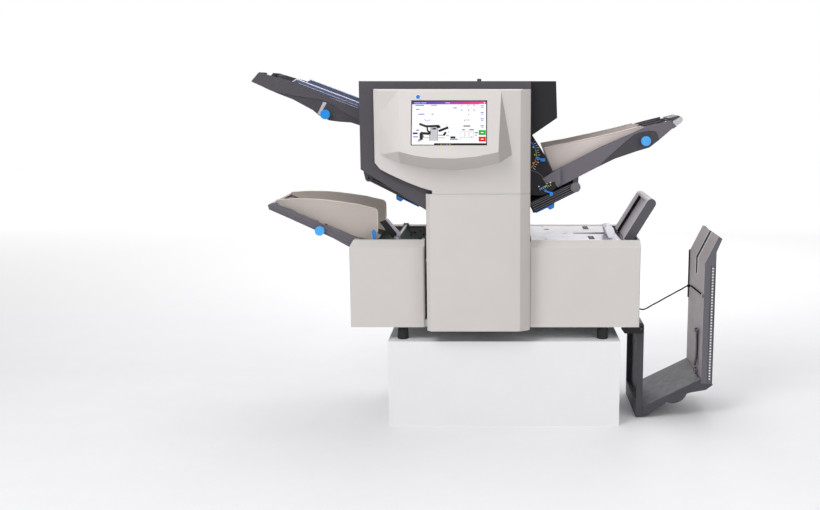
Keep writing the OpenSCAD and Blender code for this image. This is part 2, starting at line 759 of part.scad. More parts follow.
// Flap: a plate with edge and cross ribs that turns on stub pins at its outer end
module path_flap(pivot, end, half_w, pin_y, t_out, t_in) {
    u = unit(pivot, end);
    n = u[0] > 0 ? [-u[1], u[0]] : [u[1], -u[0]];
    bay = (2 * half_w - flap_skin) / flap_ribs;
    difference() {
        union() {
            slab([pivot + n * t_out / 2, pivot - n * t_out / 2, end - n * t_in / 2, end + n * t_in / 2],
                 -half_w, half_w);
            rod_y(pivot[0], pivot[1], t_out / 2, -half_w, half_w);
        }
        // bays between the ribs, open towards the paper path
        for (i = [0 : flap_ribs - 1])
            slab([pivot + u * 14 + n * (t_out / 2 + 2), pivot + u * 14 - n * (t_out / 2 - flap_skin),
                  end - u * 4 - n * (t_in / 2 - flap_skin), end - u * 4 + n * (t_in / 2 + 2)],
                 -half_w + flap_skin + i * bay, -half_w + (i + 1) * bay);
    }
    rod_y(pivot[0], pivot[1], pivot_r, -pin_y, pin_y);
}

module left_path_flap() color(c_dark) path_flap(left_pivot, left_flap_end, 146, 158, 18, 22);
module right_path_flap() color(c_dark) path_flap(right_pivot, right_flap_end, 125, 135, 30, 34);

// Sliding latch under a flap, drawn from the flap's free end outwards
module flap_latch(pivot, end, along, len, t, half_w) {
    u = unit(end, pivot);
    n = [-u[1], u[0]];
    down = n[1] < 0 ? n : -n;
    a = end + u * along + down * (t / 2 + 0.4);
    b = end + u * (along + len) + down * (t / 2 + 0.4);
    slab([a, b, b + down * 3, b + down * 12 - u * 6, b + down * 12 - u * 20, b + down * 3 - u * 24,
          a + down * 3],
         -half_w, 34 - half_w);
}

module left_flap_latch() color(c_blue)
    flap_latch(left_pivot, left_flap_end, 16, 74, 21.2, 146);
module right_flap_latch() color(c_blue)
    flap_latch(right_pivot, right_flap_end, 6, 62, 33.8, 125);

// ---------- envelope feeder ----------

deck_t = 4;
deck_z = module_top - 1;
deck_x1 = 420;
roller_at = [336.5, 289.5];
roller_d = 18;
roller_shaft_r = 2.5;
roller_y = [-108, 104];          // centres of the feed rollers and their windows

module envelope_deck() color(c_deck) difference() {
    block([right_x0 + 5, -164, deck_z - deck_t], [deck_x1, 150, deck_z]);
    // roller windows
    for (y = roller_y) block([roller_at[0] - 8.4, y - 34, 200], [roller_at[0] + 8.4, y + 34, 400]);
    // slot for the wedge's slide, wider towards its outer end
    translate([0, 0, 200]) linear_extrude(200)
        polygon([[290, -22], [deck_x1 - 3, -38], [deck_x1 - 3, 6], [290, -8]]);
    // small key slot and finger hole
    block([258, -17.5, 200], [271, -12.5, 400]);
    rod_z(210, 70, 9);
}

module rod_z(x, y, r) {
    translate([x, y, 200]) cylinder(r = r, h = 200, $fn = round_fn);
}

module envelope_roller() color(c_rubber) {
    rod_y(roller_at[0], roller_at[1], roller_shaft_r, -frame_half, frame_half);
    for (y = roller_y) rod_y(roller_at[0], roller_at[1], roller_d / 2, y - 31, y + 31);
}

// Curved white wedge that holds the envelope stack forward
module envelope_wedge() color([0.93, 0.93, 0.95]) {
    intersection() {
        slab([[374, 330], [380, 314], [386, deck_z + 2], [397, deck_z + 2], [403, 310], [404, 318],
              [401, 329], [392, 338.5], [383, 338.5]], -140, -5);
        // lower towards the rear
        translate([370, 0, 0]) rotate([90, 0, 90]) linear_extrude(40)
            polygon([[-140, 290], [-140, 330], [-132, 339], [-72, 339], [-5, 314], [-5, 290]]);
    }
    // key that runs in the slot
    block([388, -21.5, deck_z - deck_t - 5], [397, -8.5, deck_z + 3]);
    block([382, -46, deck_z - deck_t - 5.2], [403, 14, deck_z - deck_t - 0.5]);
}

arm_pivot = [446, 277];
arm_t = 27.5;
arm_x0 = -21;                    // inner face, measured from the pivot square to the arm
arm_len = 142;                   // pivot to the centre of the rounded top
arm_groove = [-95, 60, 9];       // front and rear of the groove in the inner face, and its depth
arm_rod_r = 5;

// Leaning envelope support, hinged on a rod between the right frame's plates
module envelope_support() color([0.62, 0.61, 0.65]) {
    translate([arm_pivot[0], 0, arm_pivot[1]]) rotate([0, arm_lean, 0]) difference() {
        union() {
            block([arm_x0, -env_half_w, 10], [arm_x0 + arm_t, env_half_w, arm_len]);
            rod_y(arm_x0 + arm_t / 2, arm_len, arm_t / 2, -env_half_w, env_half_w);
            for (s = [-1, 1])
                block([-7, s > 0 ? 112 : -122, -6], [6, s > 0 ? 122 : -112, 14]);
        }
        // wide groove in the inner face
        block([arm_x0 - 1, arm_groove[0], 5], [arm_x0 + arm_groove[2], arm_groove[1], arm_len - 2]);
        // hollow back
        block([arm_x0 + arm_groove[2] + 3, -env_half_w + 5, 20],
              [arm_x0 + arm_t + 5, env_half_w - 5, arm_len - 6]);
    }
    rod_y(arm_pivot[0], arm_pivot[1], arm_rod_r, -frame_half, frame_half);
}

// ---------- fold rollers and drive ----------

gear_y0 = 156;
gear_w = 8;

// Spur gear outline with straight-sided teeth and backlash
function tooth_points(teeth, m) =
    let (root = m * teeth / 2 - 1.25 * m, tip = m * teeth / 2 + 0.85 * m, step = 360 / teeth)
    [for (i = [0 : teeth - 1])
        for (p = [[root, -0.30], [tip, -0.13], [tip, 0.13], [root, 0.30]])
            p[0] * [cos((i + p[1]) * step), sin((i + p[1]) * step)]];

// phase turns the gear, in teeth, so that a tooth meets its neighbour's gap
module gear_y(at, teeth, phase) {
    translate([at[0], gear_y0 + gear_w, at[1]]) rotate([90, phase * 360 / teeth, 0]) linear_extrude(gear_w)
        polygon(tooth_points(teeth, gear_m));
}

module fold_roller(at, phase) {
    color([0.35, 0.36, 0.38]) {
        rod_y(at[0], at[1], shaft_r, -153, gear_y0 + 1);
        rod_y(at[0], at[1], roller_r, -140, 140);
    }
    color(c_steel) gear_y(at, fold_teeth, phase);
}

module fold_roller_a() fold_roller(roller_a, 0);
module fold_roller_b() fold_roller(roller_b, 0.5);
module fold_roller_c() fold_roller(roller_c, 0);

motor_y0 = 170;
motor_r = 24;
motor_shaft_r = 3;

// Flat motor that stands off the column's rear side plate, with its pinion towards the gears
module fold_motor() color(c_steel) {
    difference() {
        rod_y(motor_at[0], motor_at[1], motor_r, motor_y0, rear_y - shell_t - 0.5);
        rod_y(motor_at[0], motor_at[1], motor_shaft_r + run_gap, motor_y0 - 1, motor_y0 + 18);
    }
    for (a = [-60, 0, 60])
        rod_y(motor_at[0] + 20 * cos(a), motor_at[1] + 20 * sin(a), 2.5, frame_y, motor_y0 + 1);
}

module motor_pinion() color(c_steel) {
    rod_y(motor_at[0], motor_at[1], motor_shaft_r, gear_y0 - 1, motor_y0 + 16);
    gear_y(motor_at, pinion_teeth, 0.5);
}

// ---------- stacker ----------

trunnion = [490, 22];
trunnion_r = 4;
dock_y = 128;

// Two slotted arms under the right module, which the stacker hooks into
module stacker_dock() color(c_black) {
    for (s = [-1, 1]) difference() {
        slab([[430, foot_h - 0.01], [430, 22], [440, 8], [494, 8], [498, 12], [498, 34],
              [450, foot_h - 0.01]],
             s > 0 ? dock_y : -dock_y - 6, s > 0 ? dock_y + 6 : -dock_y);
        // open-topped slot
        block([trunnion[0] - trunnion_r - 0.3, -200, trunnion[1]], [trunnion[0] + trunnion_r + 0.3, 200, 60]);
        rod_y(trunnion[0], trunnion[1], trunnion_r + 0.3, -200, 200);
    }
    block([431, -dock_y, foot_h - 6], [447, dock_y, foot_h - 0.01]);
}

wall_x0 = 480;
wall_x1 = 500;

module stacker_wall() color(c_dark) difference() {
    union() {
        slab(concat([[wall_x0, -stacker_drop], [wall_x0, 39]], arc([wall_x1 - 9, 30], 9, 90, 0, 6),
                    [[wall_x1, -stacker_drop + 2]]), -env_half_w, env_half_w);
        rod_y(trunnion[0], trunnion[1], trunnion_r, -dock_y - 6, dock_y + 6);
    }
    // hollow from outside
    block([wall_x0 - 1, -env_half_w + 5, -215], [wall_x1 - 4, env_half_w - 5, 10]);
}

bulge_c = [592, -169];
bulge_r = 46;

// Sloping floor of the stacker, with the round housing beneath it
module stacker_base() color(c_dark) {
    slab(concat([[wall_x1, -224], [509, -222], [rail_x0, -137], [rail_x0, rail_z0], [rail_x1, rail_z0],
                 [715, -156], [694, -172], [648, -180]],
                arc(bulge_c, bulge_r, -20, -112, 10), [[516, -254], [wall_x1, -256]]),
         -env_half_w, env_half_w);
}

rail_x0 = 678;
rail_x1 = 712;
rail_z0 = -151.5;
rail_outline = [[rail_x0, rail_z0], [rail_x0, 221], [718, 304], [728, 296], [rail_x1, 256],
                [rail_x1, rail_z0]];
hole_pitch = 8.8;
hole_r = 2;
hole_n = 40;
bracket_y = [-70, -44];          // ears of the backplate's brackets
stop_z = -128;                   // lower bracket, whose bar stops the backplate
socket_z = 122;

// Upright of the stacker with its leaning top and the rows of adjustment holes
module stacker_rail() color([0.50, 0.49, 0.50]) {
    difference() {
        slab(rail_outline, -env_half_w, env_half_w);
        // hollow, open at the bottom
        block([rail_x0 + 5, -env_half_w + 5, rail_z0 - 1], [rail_x1 - 4, env_half_w - 5, 205]);
        // groove in the inner face
        slab([[rail_x0 - 2, 170], [rail_x0 - 2, 223], [711, 294], [714, 289],
              [rail_x0 + 3, 219], [rail_x0 + 3, 170]],
             -3, 3);
        for (i = [0 : hole_n - 1]) rod_y(rail_x1 - 9, 206 - i * hole_pitch, hole_r, -200, 200);
    }
    for (y = bracket_y) difference() {
        block([rail_x0 - 9, y, plate_pivot[1] - 7], [rail_x0 + 1, y + 4, plate_pivot[1] + 7]);
        rod_y(plate_pivot[0], plate_pivot[1], plate_pin_r + run_gap, -100, 0);
    }
    for (y = bracket_y) block([rail_x0 - 9, y, stop_z - 6], [rail_x0 + 1, y + 4, stop_z + 6]);
    rod_y(rail_x0 - 5, stop_z, 2, bracket_y[0] + 1, bracket_y[1] + 3);
    // socket for the cable at the front edge
    block([rail_x0 - 6, -env_half_w, socket_z - 5], [rail_x0 + 1, cable_end_y, socket_z + 5]);
}

plate_pivot = [673, -2];
plate_pin_r = 2;

// Curved plate that holds the stack off the upright, hung at its top
module stacker_backplate() color(c_black) {
    rod_y(plate_pivot[0], plate_pivot[1], plate_pin_r, bracket_y[0] - 0.5, bracket_y[1] + 4.5);
    slab([[671, 1], [675, 1], [676, -30], [676.5, -60], [675.5, -90], [671, -112], [668, -112], [672.5, -90],
          [673.5, -60], [673, -30]], bracket_y[0] + 5.5, bracket_y[1] - 1.5);
}

// ---------- cable ----------

cable_r = 2.25;
gland_at = [145, 52];            // Y and Z of the gland on the right module's end wall
gland_len = 8;
cable_end_y = -112;
// Route straight out of the gland, down and up to the stacker's upright, then across to the socket
cable_points = [[485, 145, 52], [490, 145, 52], [495, 145, 52], [501, 145, 49], [506, 145, 42],
                [511, 144.5, 34], [517, 144, 27], [525, 143, 22.5], [535, 141, 22], [546, 138, 27],
                [560, 134, 37], [580, 127, 50], [600, 120, 64], [620, 114, 77], [638, 108, 89],
                [652, 103, 98], [663, 97, 107], [671, 88, 112], [674.5, 74, 114], [675.5, 56, 115],
                [675.5, 32, 117], [675.5, 8, 118], [675.5, -16, 119], [675.5, -40, 120],
                [675.5, -64, 121], [675.5, -88, 122], [675.5, -112, 122]];

// Unit tangent of the route at point i
function tangent(p, i) =
    let (a = p[max(i - 1, 0)], b = p[min(i + 1, len(p) - 1)]) (b - a) / norm(b - a);

// Catmull-Rom point between p[i] and p[i + 1]
function spline(p, i, t) =
    let (a = p[max(i - 1, 0)], b = p[i], c = p[i + 1], d = p[min(i + 2, len(p) - 1)])
    0.5 * (2 * b + (c - a) * t + (2 * a - 5 * b + 4 * c - d) * t * t + (3 * b - 3 * c + d - a) * t * t * t);

// Round tube swept along a route that never runs upright
module tube(p, r, sides = 8, steps = 2) {
    path = concat([for (i = [0 : len(p) - 2], s = [0 : steps - 1]) spline(p, i, s / steps)], [p[len(p) - 1]]);
    n = len(path);
    rings = [for (i = [0 : n - 1])
        let (t = tangent(path, i), u = cross(t, [0, 0, 1]), uu = u / norm(u), v = cross(t, uu))
        for (k = [0 : sides - 1]) path[i] + r * (cos(360 * k / sides) * uu + sin(360 * k / sides) * v)];
    walls = [for (i = [0 : n - 2], k = [0 : sides - 1])
        let (a = i * sides + k, b = i * sides + (k + 1) % sides) [a, b, b + sides, a + sides]];
    ends = [[for (k = [sides - 1 : -1 : 0]) k], [for (k = [0 : sides - 1]) (n - 1) * sides + k]];
    polyhedron(points = rings, faces = concat(walls, ends));
}

module stacker_cable() color(c_black) tube(cable_points, cable_r);

// Strain relief where the cable leaves the right module
module cable_gland() color(c_black) {
    rod_x(gland_at[0], gland_at[1], 6.5, right_x1, right_x1 + 3);
    rod_x(gland_at[0], gland_at[1], 4.5, right_x1 + 2, right_x1 + gland_len);
}

base_plate();
feet();
left_cover();
right_cover();
left_frame();
right_frame();
column_frame();
column_front_cover();
column_rear_cover();
head_shell();
head_right_cover();
head_panel();
display_housing();
display_screen();
power_button();
top_cover();
lid_hinge_pin();
upper_left_tray();
upper_left_guide_front();
upper_left_guide_rear();
upper_left_screw();
upper_left_knob();
upper_left_extension();
lower_left_tray();
lower_left_guide_front();
lower_left_guide_rear();
lower_left_screw();
lower_left_knob();
lower_left_lever();
lower_left_flap();
right_tray();
right_guide_front();
right_guide_rear();
right_screw();
right_knob();
right_extension();
right_feeder_plates();
separation_lever();
gap_lever();
left_path_flap();
left_flap_latch();
right_path_flap();
right_flap_latch();
envelope_deck();
envelope_roller();
envelope_wedge();
envelope_support();
fold_roller_a();
fold_roller_b();
fold_roller_c();
fold_motor();
motor_pinion();
power_inlet();
stacker_dock();
stacker_wall();
stacker_base();
stacker_rail();
stacker_backplate();
stacker_cable();
cable_gland();
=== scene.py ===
"""Looks of a folder inserter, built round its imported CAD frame.

Places given to Blender are in metres; outlines, radii and widths are in millimetres.
"""

import math

import bmesh
import bpy
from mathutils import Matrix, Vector


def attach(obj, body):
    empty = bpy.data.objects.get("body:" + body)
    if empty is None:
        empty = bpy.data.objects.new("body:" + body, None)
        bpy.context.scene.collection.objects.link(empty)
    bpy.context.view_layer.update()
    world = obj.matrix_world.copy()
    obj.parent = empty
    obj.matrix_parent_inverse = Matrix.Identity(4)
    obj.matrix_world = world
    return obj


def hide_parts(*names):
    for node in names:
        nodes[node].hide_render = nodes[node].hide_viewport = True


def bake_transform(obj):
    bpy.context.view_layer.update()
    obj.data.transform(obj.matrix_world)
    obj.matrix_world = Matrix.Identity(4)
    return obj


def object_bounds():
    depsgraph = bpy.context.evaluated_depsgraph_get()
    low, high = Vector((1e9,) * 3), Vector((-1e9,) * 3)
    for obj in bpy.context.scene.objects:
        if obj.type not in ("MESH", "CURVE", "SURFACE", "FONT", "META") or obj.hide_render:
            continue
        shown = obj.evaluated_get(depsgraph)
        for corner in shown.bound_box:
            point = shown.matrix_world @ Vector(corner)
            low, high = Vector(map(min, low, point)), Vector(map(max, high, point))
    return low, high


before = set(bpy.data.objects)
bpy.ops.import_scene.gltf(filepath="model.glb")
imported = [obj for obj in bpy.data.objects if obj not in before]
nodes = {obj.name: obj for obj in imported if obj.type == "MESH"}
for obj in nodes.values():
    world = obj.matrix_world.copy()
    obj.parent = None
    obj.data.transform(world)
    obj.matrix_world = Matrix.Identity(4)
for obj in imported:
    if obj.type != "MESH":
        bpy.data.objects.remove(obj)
cad_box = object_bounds()
MM = 0.001

# ---------- camera ----------

CAMERA_AT = (0.0634, -3.140, 0.750)
CAMERA_DOWN = math.radians(9.46)
CAMERA_LENS = 44.78
CAMERA_SHIFT = -0.11

camera_data = bpy.data.cameras.new("camera")
camera_data.lens = CAMERA_LENS
camera_data.sensor_width = 36.0
camera_data.shift_x = CAMERA_SHIFT
camera = bpy.data.objects.new("camera", camera_data)
camera.location = CAMERA_AT
camera.rotation_euler = (math.pi / 2 - CAMERA_DOWN, 0, 0)
bpy.context.scene.collection.objects.link(camera)
bpy.context.scene.camera = camera

# ---------- shapes ----------

X_AXIS, Y_AXIS, Z_AXIS = Vector((1, 0, 0)), Vector((0, 1, 0)), Vector((0, 0, 1))


class Plane:
    """A plane to draw outlines on: a point on it, and the directions of an outline's two numbers."""

    def __init__(self, origin, across, up):
        self.origin, self.across, self.up = Vector(origin), across, up
        self.out = across.cross(up)

    def at(self, a, b, height):
        return (self.origin + self.across * a + self.up * b + self.out * height) * MM


FRONT = Plane((0, 0, 0), X_AXIS, Z_AXIS)      # height is -Y
PLAN = Plane((0, 0, 0), X_AXIS, Y_AXIS)       # height is Z
REAR = Plane((0, 0, 0), -X_AXIS, Z_AXIS)      # height is Y


class Shape:
    """Collects closed solids, drawn on a plane, for one piece."""

    def __init__(self, plane=FRONT):
        self.mesh, self.plane = bmesh.new(), plane

    def loop(self, points, height):
        return [self.mesh.verts.new(self.plane.at(a, b, height)) for a, b in points]

    def walls(self, low, high, paint):
        count = len(low)
        for i in range(count):
            j = (i + 1) % count
            self.mesh.faces.new((low[i], low[j], high[j], high[i])).material_index = paint

    def prism(self, points, low, high, paint=0):
        return self.taper(points, points, low, high, paint)

    def taper(self, points, smaller, low, high, paint=0):
        a, b = self.loop(points, low), self.loop(smaller, high)
        self.walls(a, b, paint)
        self.mesh.faces.new(a).material_index = paint
        self.mesh.faces.new(b).material_index = paint
        return self

    def box(self, a0, b0, a1, b1, low, high, paint=0):
        return self.prism([(a0, b0), (a1, b0), (a1, b1), (a0, b1)], low, high, paint)

    def disc(self, centre, radius, low, high, paint=0, sides=24):
        return self.prism(circle(centre, radius, sides), low, high, paint)

    def dome(self, centre, radius, low, high, paint=0, sides=24):
        """A round head with a rounded edge."""
        steps = [(1.0, 0.0), (1.0, 0.45), (0.9, 0.8), (0.7, 1.0)]
        rings = [self.loop(circle(centre, radius * r, sides), low + (high - low) * h) for r, h in steps]
        for lower, upper in zip(rings, rings[1:]):
            self.walls(lower, upper, paint)
        self.mesh.faces.new(rings[0]).material_index = paint
        self.mesh.faces.new(rings[-1]).material_index = paint
        return self

    def bar(self, start, end, width, low, high, paint=0):
        a, b = Vector(start), Vector(end)
        side = (b - a).normalized().orthogonal() * width / 2
        return self.prism([a - side, b - side, b + side, a + side], low, high, paint)

    def ring(self, centre, outer, inner, low, high, paint=0, sides=32):
        big, small = circle(centre, outer, sides), circle(centre, inner, sides)
        return self.band(big, small, low, high, paint)

    def band(self, big, small, low, high, paint=0):
        """The solid between two closed outlines with the same number of points."""
        loops = [self.loop(big, low), self.loop(small, low), self.loop(big, high), self.loop(small, high)]
        for pair in ((0, 1), (2, 3), (0, 2), (1, 3)):
            self.walls(loops[pair[0]], loops[pair[1]], paint)
        return self

    def pill(self, centre, width, height, low, high, paint=0, radius=None, steps=5):
        return self.prism(rounded(centre, width, height, radius or height / 2, steps), low, high, paint)

    def frame(self, centre, width, height, line, low, high, paint=0, radius=1.0, steps=4):
        outer = rounded(centre, width, height, radius, steps)
        inner = rounded(centre, width - 2 * line, height - 2 * line, max(radius - line, 0.05), steps)
        return self.band(outer, inner, low, high, paint)

    def done(self, name, body, slot, materials, bevel=0.0):
        """Makes the piece, which rides on a body."""
        bmesh.ops.recalc_face_normals(self.mesh, faces=self.mesh.faces)
        data = bpy.data.meshes.new(name)
        self.mesh.to_mesh(data)
        self.mesh.free()
        return finish_piece(name, data, body, materials, bevel)


def circle(centre, radius, sides):
    turns = [2 * math.pi * i / sides for i in range(sides)]
    return [(centre[0] + radius * math.cos(t), centre[1] + radius * math.sin(t)) for t in turns]


def rounded(centre, width, height, radius, steps):
    """Outline of a rectangle with round corners."""
    points = []
    for quarter, (sx, sy) in enumerate(((1, 1), (-1, 1), (-1, -1), (1, -1))):
        corner = (centre[0] + sx * (width / 2 - radius), centre[1] + sy * (height / 2 - radius))
        for i in range(steps + 1):
            turn = math.pi / 2 * (quarter + i / steps)
            points.append((corner[0] + radius * math.cos(turn), corner[1] + radius * math.sin(turn)))
    return points


EDGE_ANGLE = math.radians(32)                 # a sharper edge than this gets rounded
SHARP_ANGLE = math.radians(35)


def soften(piece, bevel, segments=2):
    """Rounded edges of a real radius, with flat faces kept flat."""
    for polygon in piece.data.polygons:
        polygon.use_smooth = True
    if bevel:
        edge = piece.modifiers.new("edges", "BEVEL")
        edge.width = bevel * MM
        edge.segments = segments
        edge.limit_method = "ANGLE"
        edge.angle_limit = EDGE_ANGLE
        edge.use_clamp_overlap = False
        edge.harden_normals = True
        edge.miter_outer = "MITER_ARC"
    else:
        piece.data.set_sharp_from_angle(angle=SHARP_ANGLE)


def finish_piece(name, data, body, materials, bevel=0.0):
    piece = bpy.data.objects.new(name, data)
    bpy.context.scene.collection.objects.link(piece)
    for material in materials:
        data.materials.append(material)
    soften(piece, bevel)
    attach(piece, body)
    return piece


def wire(name, points, radius, material, body):
    """A round bead along points, which are in millimetres."""
    curve = bpy.data.curves.new(name, "CURVE")
    curve.dimensions = "3D"
    curve.bevel_depth = radius * MM
    curve.bevel_resolution = 3
    curve.use_fill_caps = True
    line = curve.splines.new("POLY")
    line.points.add(len(points) - 1)
    for point, place in zip(line.points, points):
        point.co = (*(Vector(place) * MM), 1)
    piece = bpy.data.objects.new(name, curve)
    bpy.context.scene.collection.objects.link(piece)
    curve.materials.append(material)
    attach(piece, body)
    return piece


# ---------- materials ----------


def srgb(r, g, b):
    """Linear colour of an everyday 0 to 255 one."""
    return tuple((c / 255 / 12.92 if c < 11 else ((c / 255 + 0.055) / 1.055) ** 2.4) for c in (r, g, b))


def shade(colour, factor):
    """A lighter or darker colour, with its alpha."""
    return tuple(min(1.0, c * factor) for c in colour) + (1.0,)


BROAD_NOISE, ROUGH_NOISE = 7.0, 45.0          # blotches and changes of gloss, in bumps a metre
EDGE_LIGHTENING_R = 0.0015                               # how far the edge lightening reaches, for worn edges and as a painted highlight, in metres


def surface(name, colour, rough, grain=900.0, depth=0.03, blotch=0.04, edge_wear_and_highlight=0.0, streaks=None, lean=0.0,
            metallic=0.0, specular=0.5, coat=0.0, through=0.0, glow=0.0, ramp=None, ramp_span=None):
    """Moulded plastic, metal, rubber or a lit screen. Grain is in bumps a metre, depth in millimetres.

    Streaks stretches the grain for a brushed finish, a lightening of the edges stands both for worn edges and for a
    painted highlight, and ramp is a colour sweep along X over ramp_span."""
    material = bpy.data.materials.new(name)
    material.use_nodes = True
    tree = material.node_tree
    link, shader = tree.links.new, tree.nodes["Principled BSDF"]
    coords = tree.nodes.new("ShaderNodeTexCoord").outputs["Object"]

    def noise(scale, detail, source=coords):
        node = tree.nodes.new("ShaderNodeTexNoise")
        node.inputs["Scale"].default_value = scale
        node.inputs["Detail"].default_value = detail
        link(source, node.inputs["Vector"])
        return node.outputs["Fac"]

    def spread(source, low, high, start=0.3, end=0.7):
        node = tree.nodes.new("ShaderNodeMapRange")
        for key, value in (("From Min", start), ("From Max", end), ("To Min", low), ("To Max", high)):
            node.inputs[key].default_value = value
        link(source, node.inputs["Value"])
        return node.outputs["Result"]

    def blend(factor, first, second):
        node = tree.nodes.new("ShaderNodeMix")
        node.data_type = "RGBA"
        link(factor, node.inputs["Factor"])
        for socket, value in ((node.inputs[6], first), (node.inputs[7], second)):
            if isinstance(value, tuple):
                socket.default_value = value
            else:
                link(value, socket)
        return node.outputs[2]

    source = coords
    if streaks:
        mapping = tree.nodes.new("ShaderNodeMapping")
        mapping.vector_type = "TEXTURE"
        mapping.inputs["Rotation"].default_value = (0, lean, 0)
        mapping.inputs["Scale"].default_value = streaks
        link(coords, mapping.inputs["Vector"])
        source = mapping.outputs["Vector"]
    fine = noise(grain, 3.0, source)
    broad = noise(BROAD_NOISE, 2.0)
    if ramp:
        split = tree.nodes.new("ShaderNodeSeparateXYZ")
        link(coords, split.inputs["Vector"])
        sweep = tree.nodes.new("ShaderNodeValToRGB")
        for i, (place, tone) in enumerate(ramp):
            stop = sweep.color_ramp.elements[i] if i < 2 else sweep.color_ramp.elements.new(place)
            stop.position, stop.color = place, tone + (1.0,)
        link(spread(split.outputs["X"], 0.0, 1.0, *ramp_span), sweep.inputs["Fac"])
        tone = blend(spread(fine, 0.0, 0.06), sweep.outputs["Color"], (1, 1, 1, 1))
    else:
        tone = blend(spread(broad, 0.0, 1.0), shade(colour, 1 - blotch), shade(colour, 1 + blotch))
        tone = blend(spread(fine, 0.0, 0.5), tone, shade(colour, 1 - 2 * blotch))
    # lighter edges, both as worn edges and as a painted highlight along every edge
    if edge_wear_and_highlight:
        geometry = tree.nodes.new("ShaderNodeNewGeometry")
        corner = tree.nodes.new("ShaderNodeBevel")
        corner.samples = 4
        corner.inputs["Radius"].default_value = EDGE_LIGHTENING_R
        dot = tree.nodes.new("ShaderNodeVectorMath")
        dot.operation = "DOT_PRODUCT"
        link(corner.outputs["Normal"], dot.inputs[0])
        link(geometry.outputs["Normal"], dot.inputs[1])
        tone = blend(spread(dot.outputs["Value"], edge_wear_and_highlight, 0.0, 0.86, 0.99), tone, shade(colour, 1.5))
    link(tone, shader.inputs["Base Color"])
    link(spread(noise(ROUGH_NOISE, 4.0), rough - 0.05, rough + 0.06), shader.inputs["Roughness"])
    bump = tree.nodes.new("ShaderNodeBump")
    bump.inputs["Distance"].default_value = depth * MM
    bump.inputs["Strength"].default_value = 0.9
    link(fine, bump.inputs["Height"])
    link(bump.outputs["Normal"], shader.inputs["Normal"])
    shader.inputs["Metallic"].default_value = metallic
    shader.inputs["Specular IOR Level"].default_value = specular
    shader.inputs["Coat Weight"].default_value = coat
    shader.inputs["Transmission Weight"].default_value = through
    if glow:
        shader.inputs["Emission Strength"].default_value = glow
        if ramp:
            link(tone, shader.inputs["Emission Color"])
        else:
            shader.inputs["Emission Color"].default_value = colour + (1.0,)
    return material


BRUSH_ALONG = (0.030, 0.030, 0.0009)          # stretch of a brushed grain along X
BRUSH_FALL, BRUSH_RISE = math.radians(-24), math.radians(22)
cover = surface("cover_plastic", srgb(211, 206, 203), 0.46, grain=1500, depth=0.02, blotch=0.02, edge_wear_and_highlight=0.35)
dark = surface("dark_plastic", srgb(80, 77, 83), 0.52, grain=1300, depth=0.05, blotch=0.06, edge_wear_and_highlight=0.3, specular=0.4)
black = surface("black_plastic", srgb(36, 34, 37), 0.46, grain=1300, depth=0.04, blotch=0.06, edge_wear_and_highlight=0.25, specular=0.3)
tray = surface("tray_plastic", srgb(106, 101, 110), 0.48, grain=1300, depth=0.05, blotch=0.05, edge_wear_and_highlight=0.4)
tray_low = surface("tray_recess", srgb(66, 63, 69), 0.52, grain=1300, depth=0.05, blotch=0.05, edge_wear_and_highlight=0.3)
guide_tan = surface("tan_guide", srgb(194, 184, 177), 0.40, grain=1.0, depth=0.05, blotch=0.05, edge_wear_and_highlight=0.3,
                    streaks=BRUSH_ALONG, lean=BRUSH_FALL, specular=0.55)
rim_tan = surface("tan_rim", srgb(218, 206, 196), 0.35, grain=1600, depth=0.02, blotch=0.03)
guide_blue = surface("blue_grey_guide", srgb(110, 120, 158), 0.25, grain=1.0, depth=0.04, blotch=0.08, edge_wear_and_highlight=0.5,
                     streaks=BRUSH_ALONG, lean=BRUSH_RISE, coat=0.3, through=0.25)
rim_pale = surface("pale_rim", srgb(226, 226, 240), 0.2, grain=900, depth=0.02, coat=0.4)
blue = surface("blue_control", srgb(34, 134, 228), 0.30, grain=1200, depth=0.015, blotch=0.05, edge_wear_and_highlight=0.4, coat=0.25)
sky = surface("sky_knob", srgb(74, 172, 245), 0.30, grain=1200, depth=0.015, blotch=0.05, edge_wear_and_highlight=0.3, coat=0.25)
zinc = surface("zinc_plate", srgb(190, 192, 192), 0.34, grain=1.0, depth=0.02, blotch=0.08,
               streaks=(0.05, 0.05, 0.0012), metallic=0.9)
steel = surface("bright_steel", srgb(205, 205, 205), 0.24, grain=1.0, depth=0.02, blotch=0.05,
                streaks=(0.0012, 0.04, 0.0012), metallic=1.0)
green = surface("green_plate", srgb(122, 134, 130), 0.45, grain=900, depth=0.03, blotch=0.08, metallic=0.3)
deck = surface("deck_paint", srgb(184, 178, 192), 0.36, grain=1800, depth=0.015, blotch=0.02, edge_wear_and_highlight=0.3, coat=0.15)
rubber = surface("foot_rubber", srgb(36, 36, 38), 0.75, grain=700, depth=0.12, blotch=0.12)
roller = surface("roller_rubber", srgb(48, 48, 52), 0.62, grain=1500, depth=0.08, blotch=0.1)
white = surface("white_plastic", srgb(234, 234, 240), 0.34, grain=1500, depth=0.015, blotch=0.015, coat=0.1)
support = surface("support_face", srgb(204, 197, 206), 0.45, grain=1400, depth=0.04, blotch=0.03, edge_wear_and_highlight=0.3)
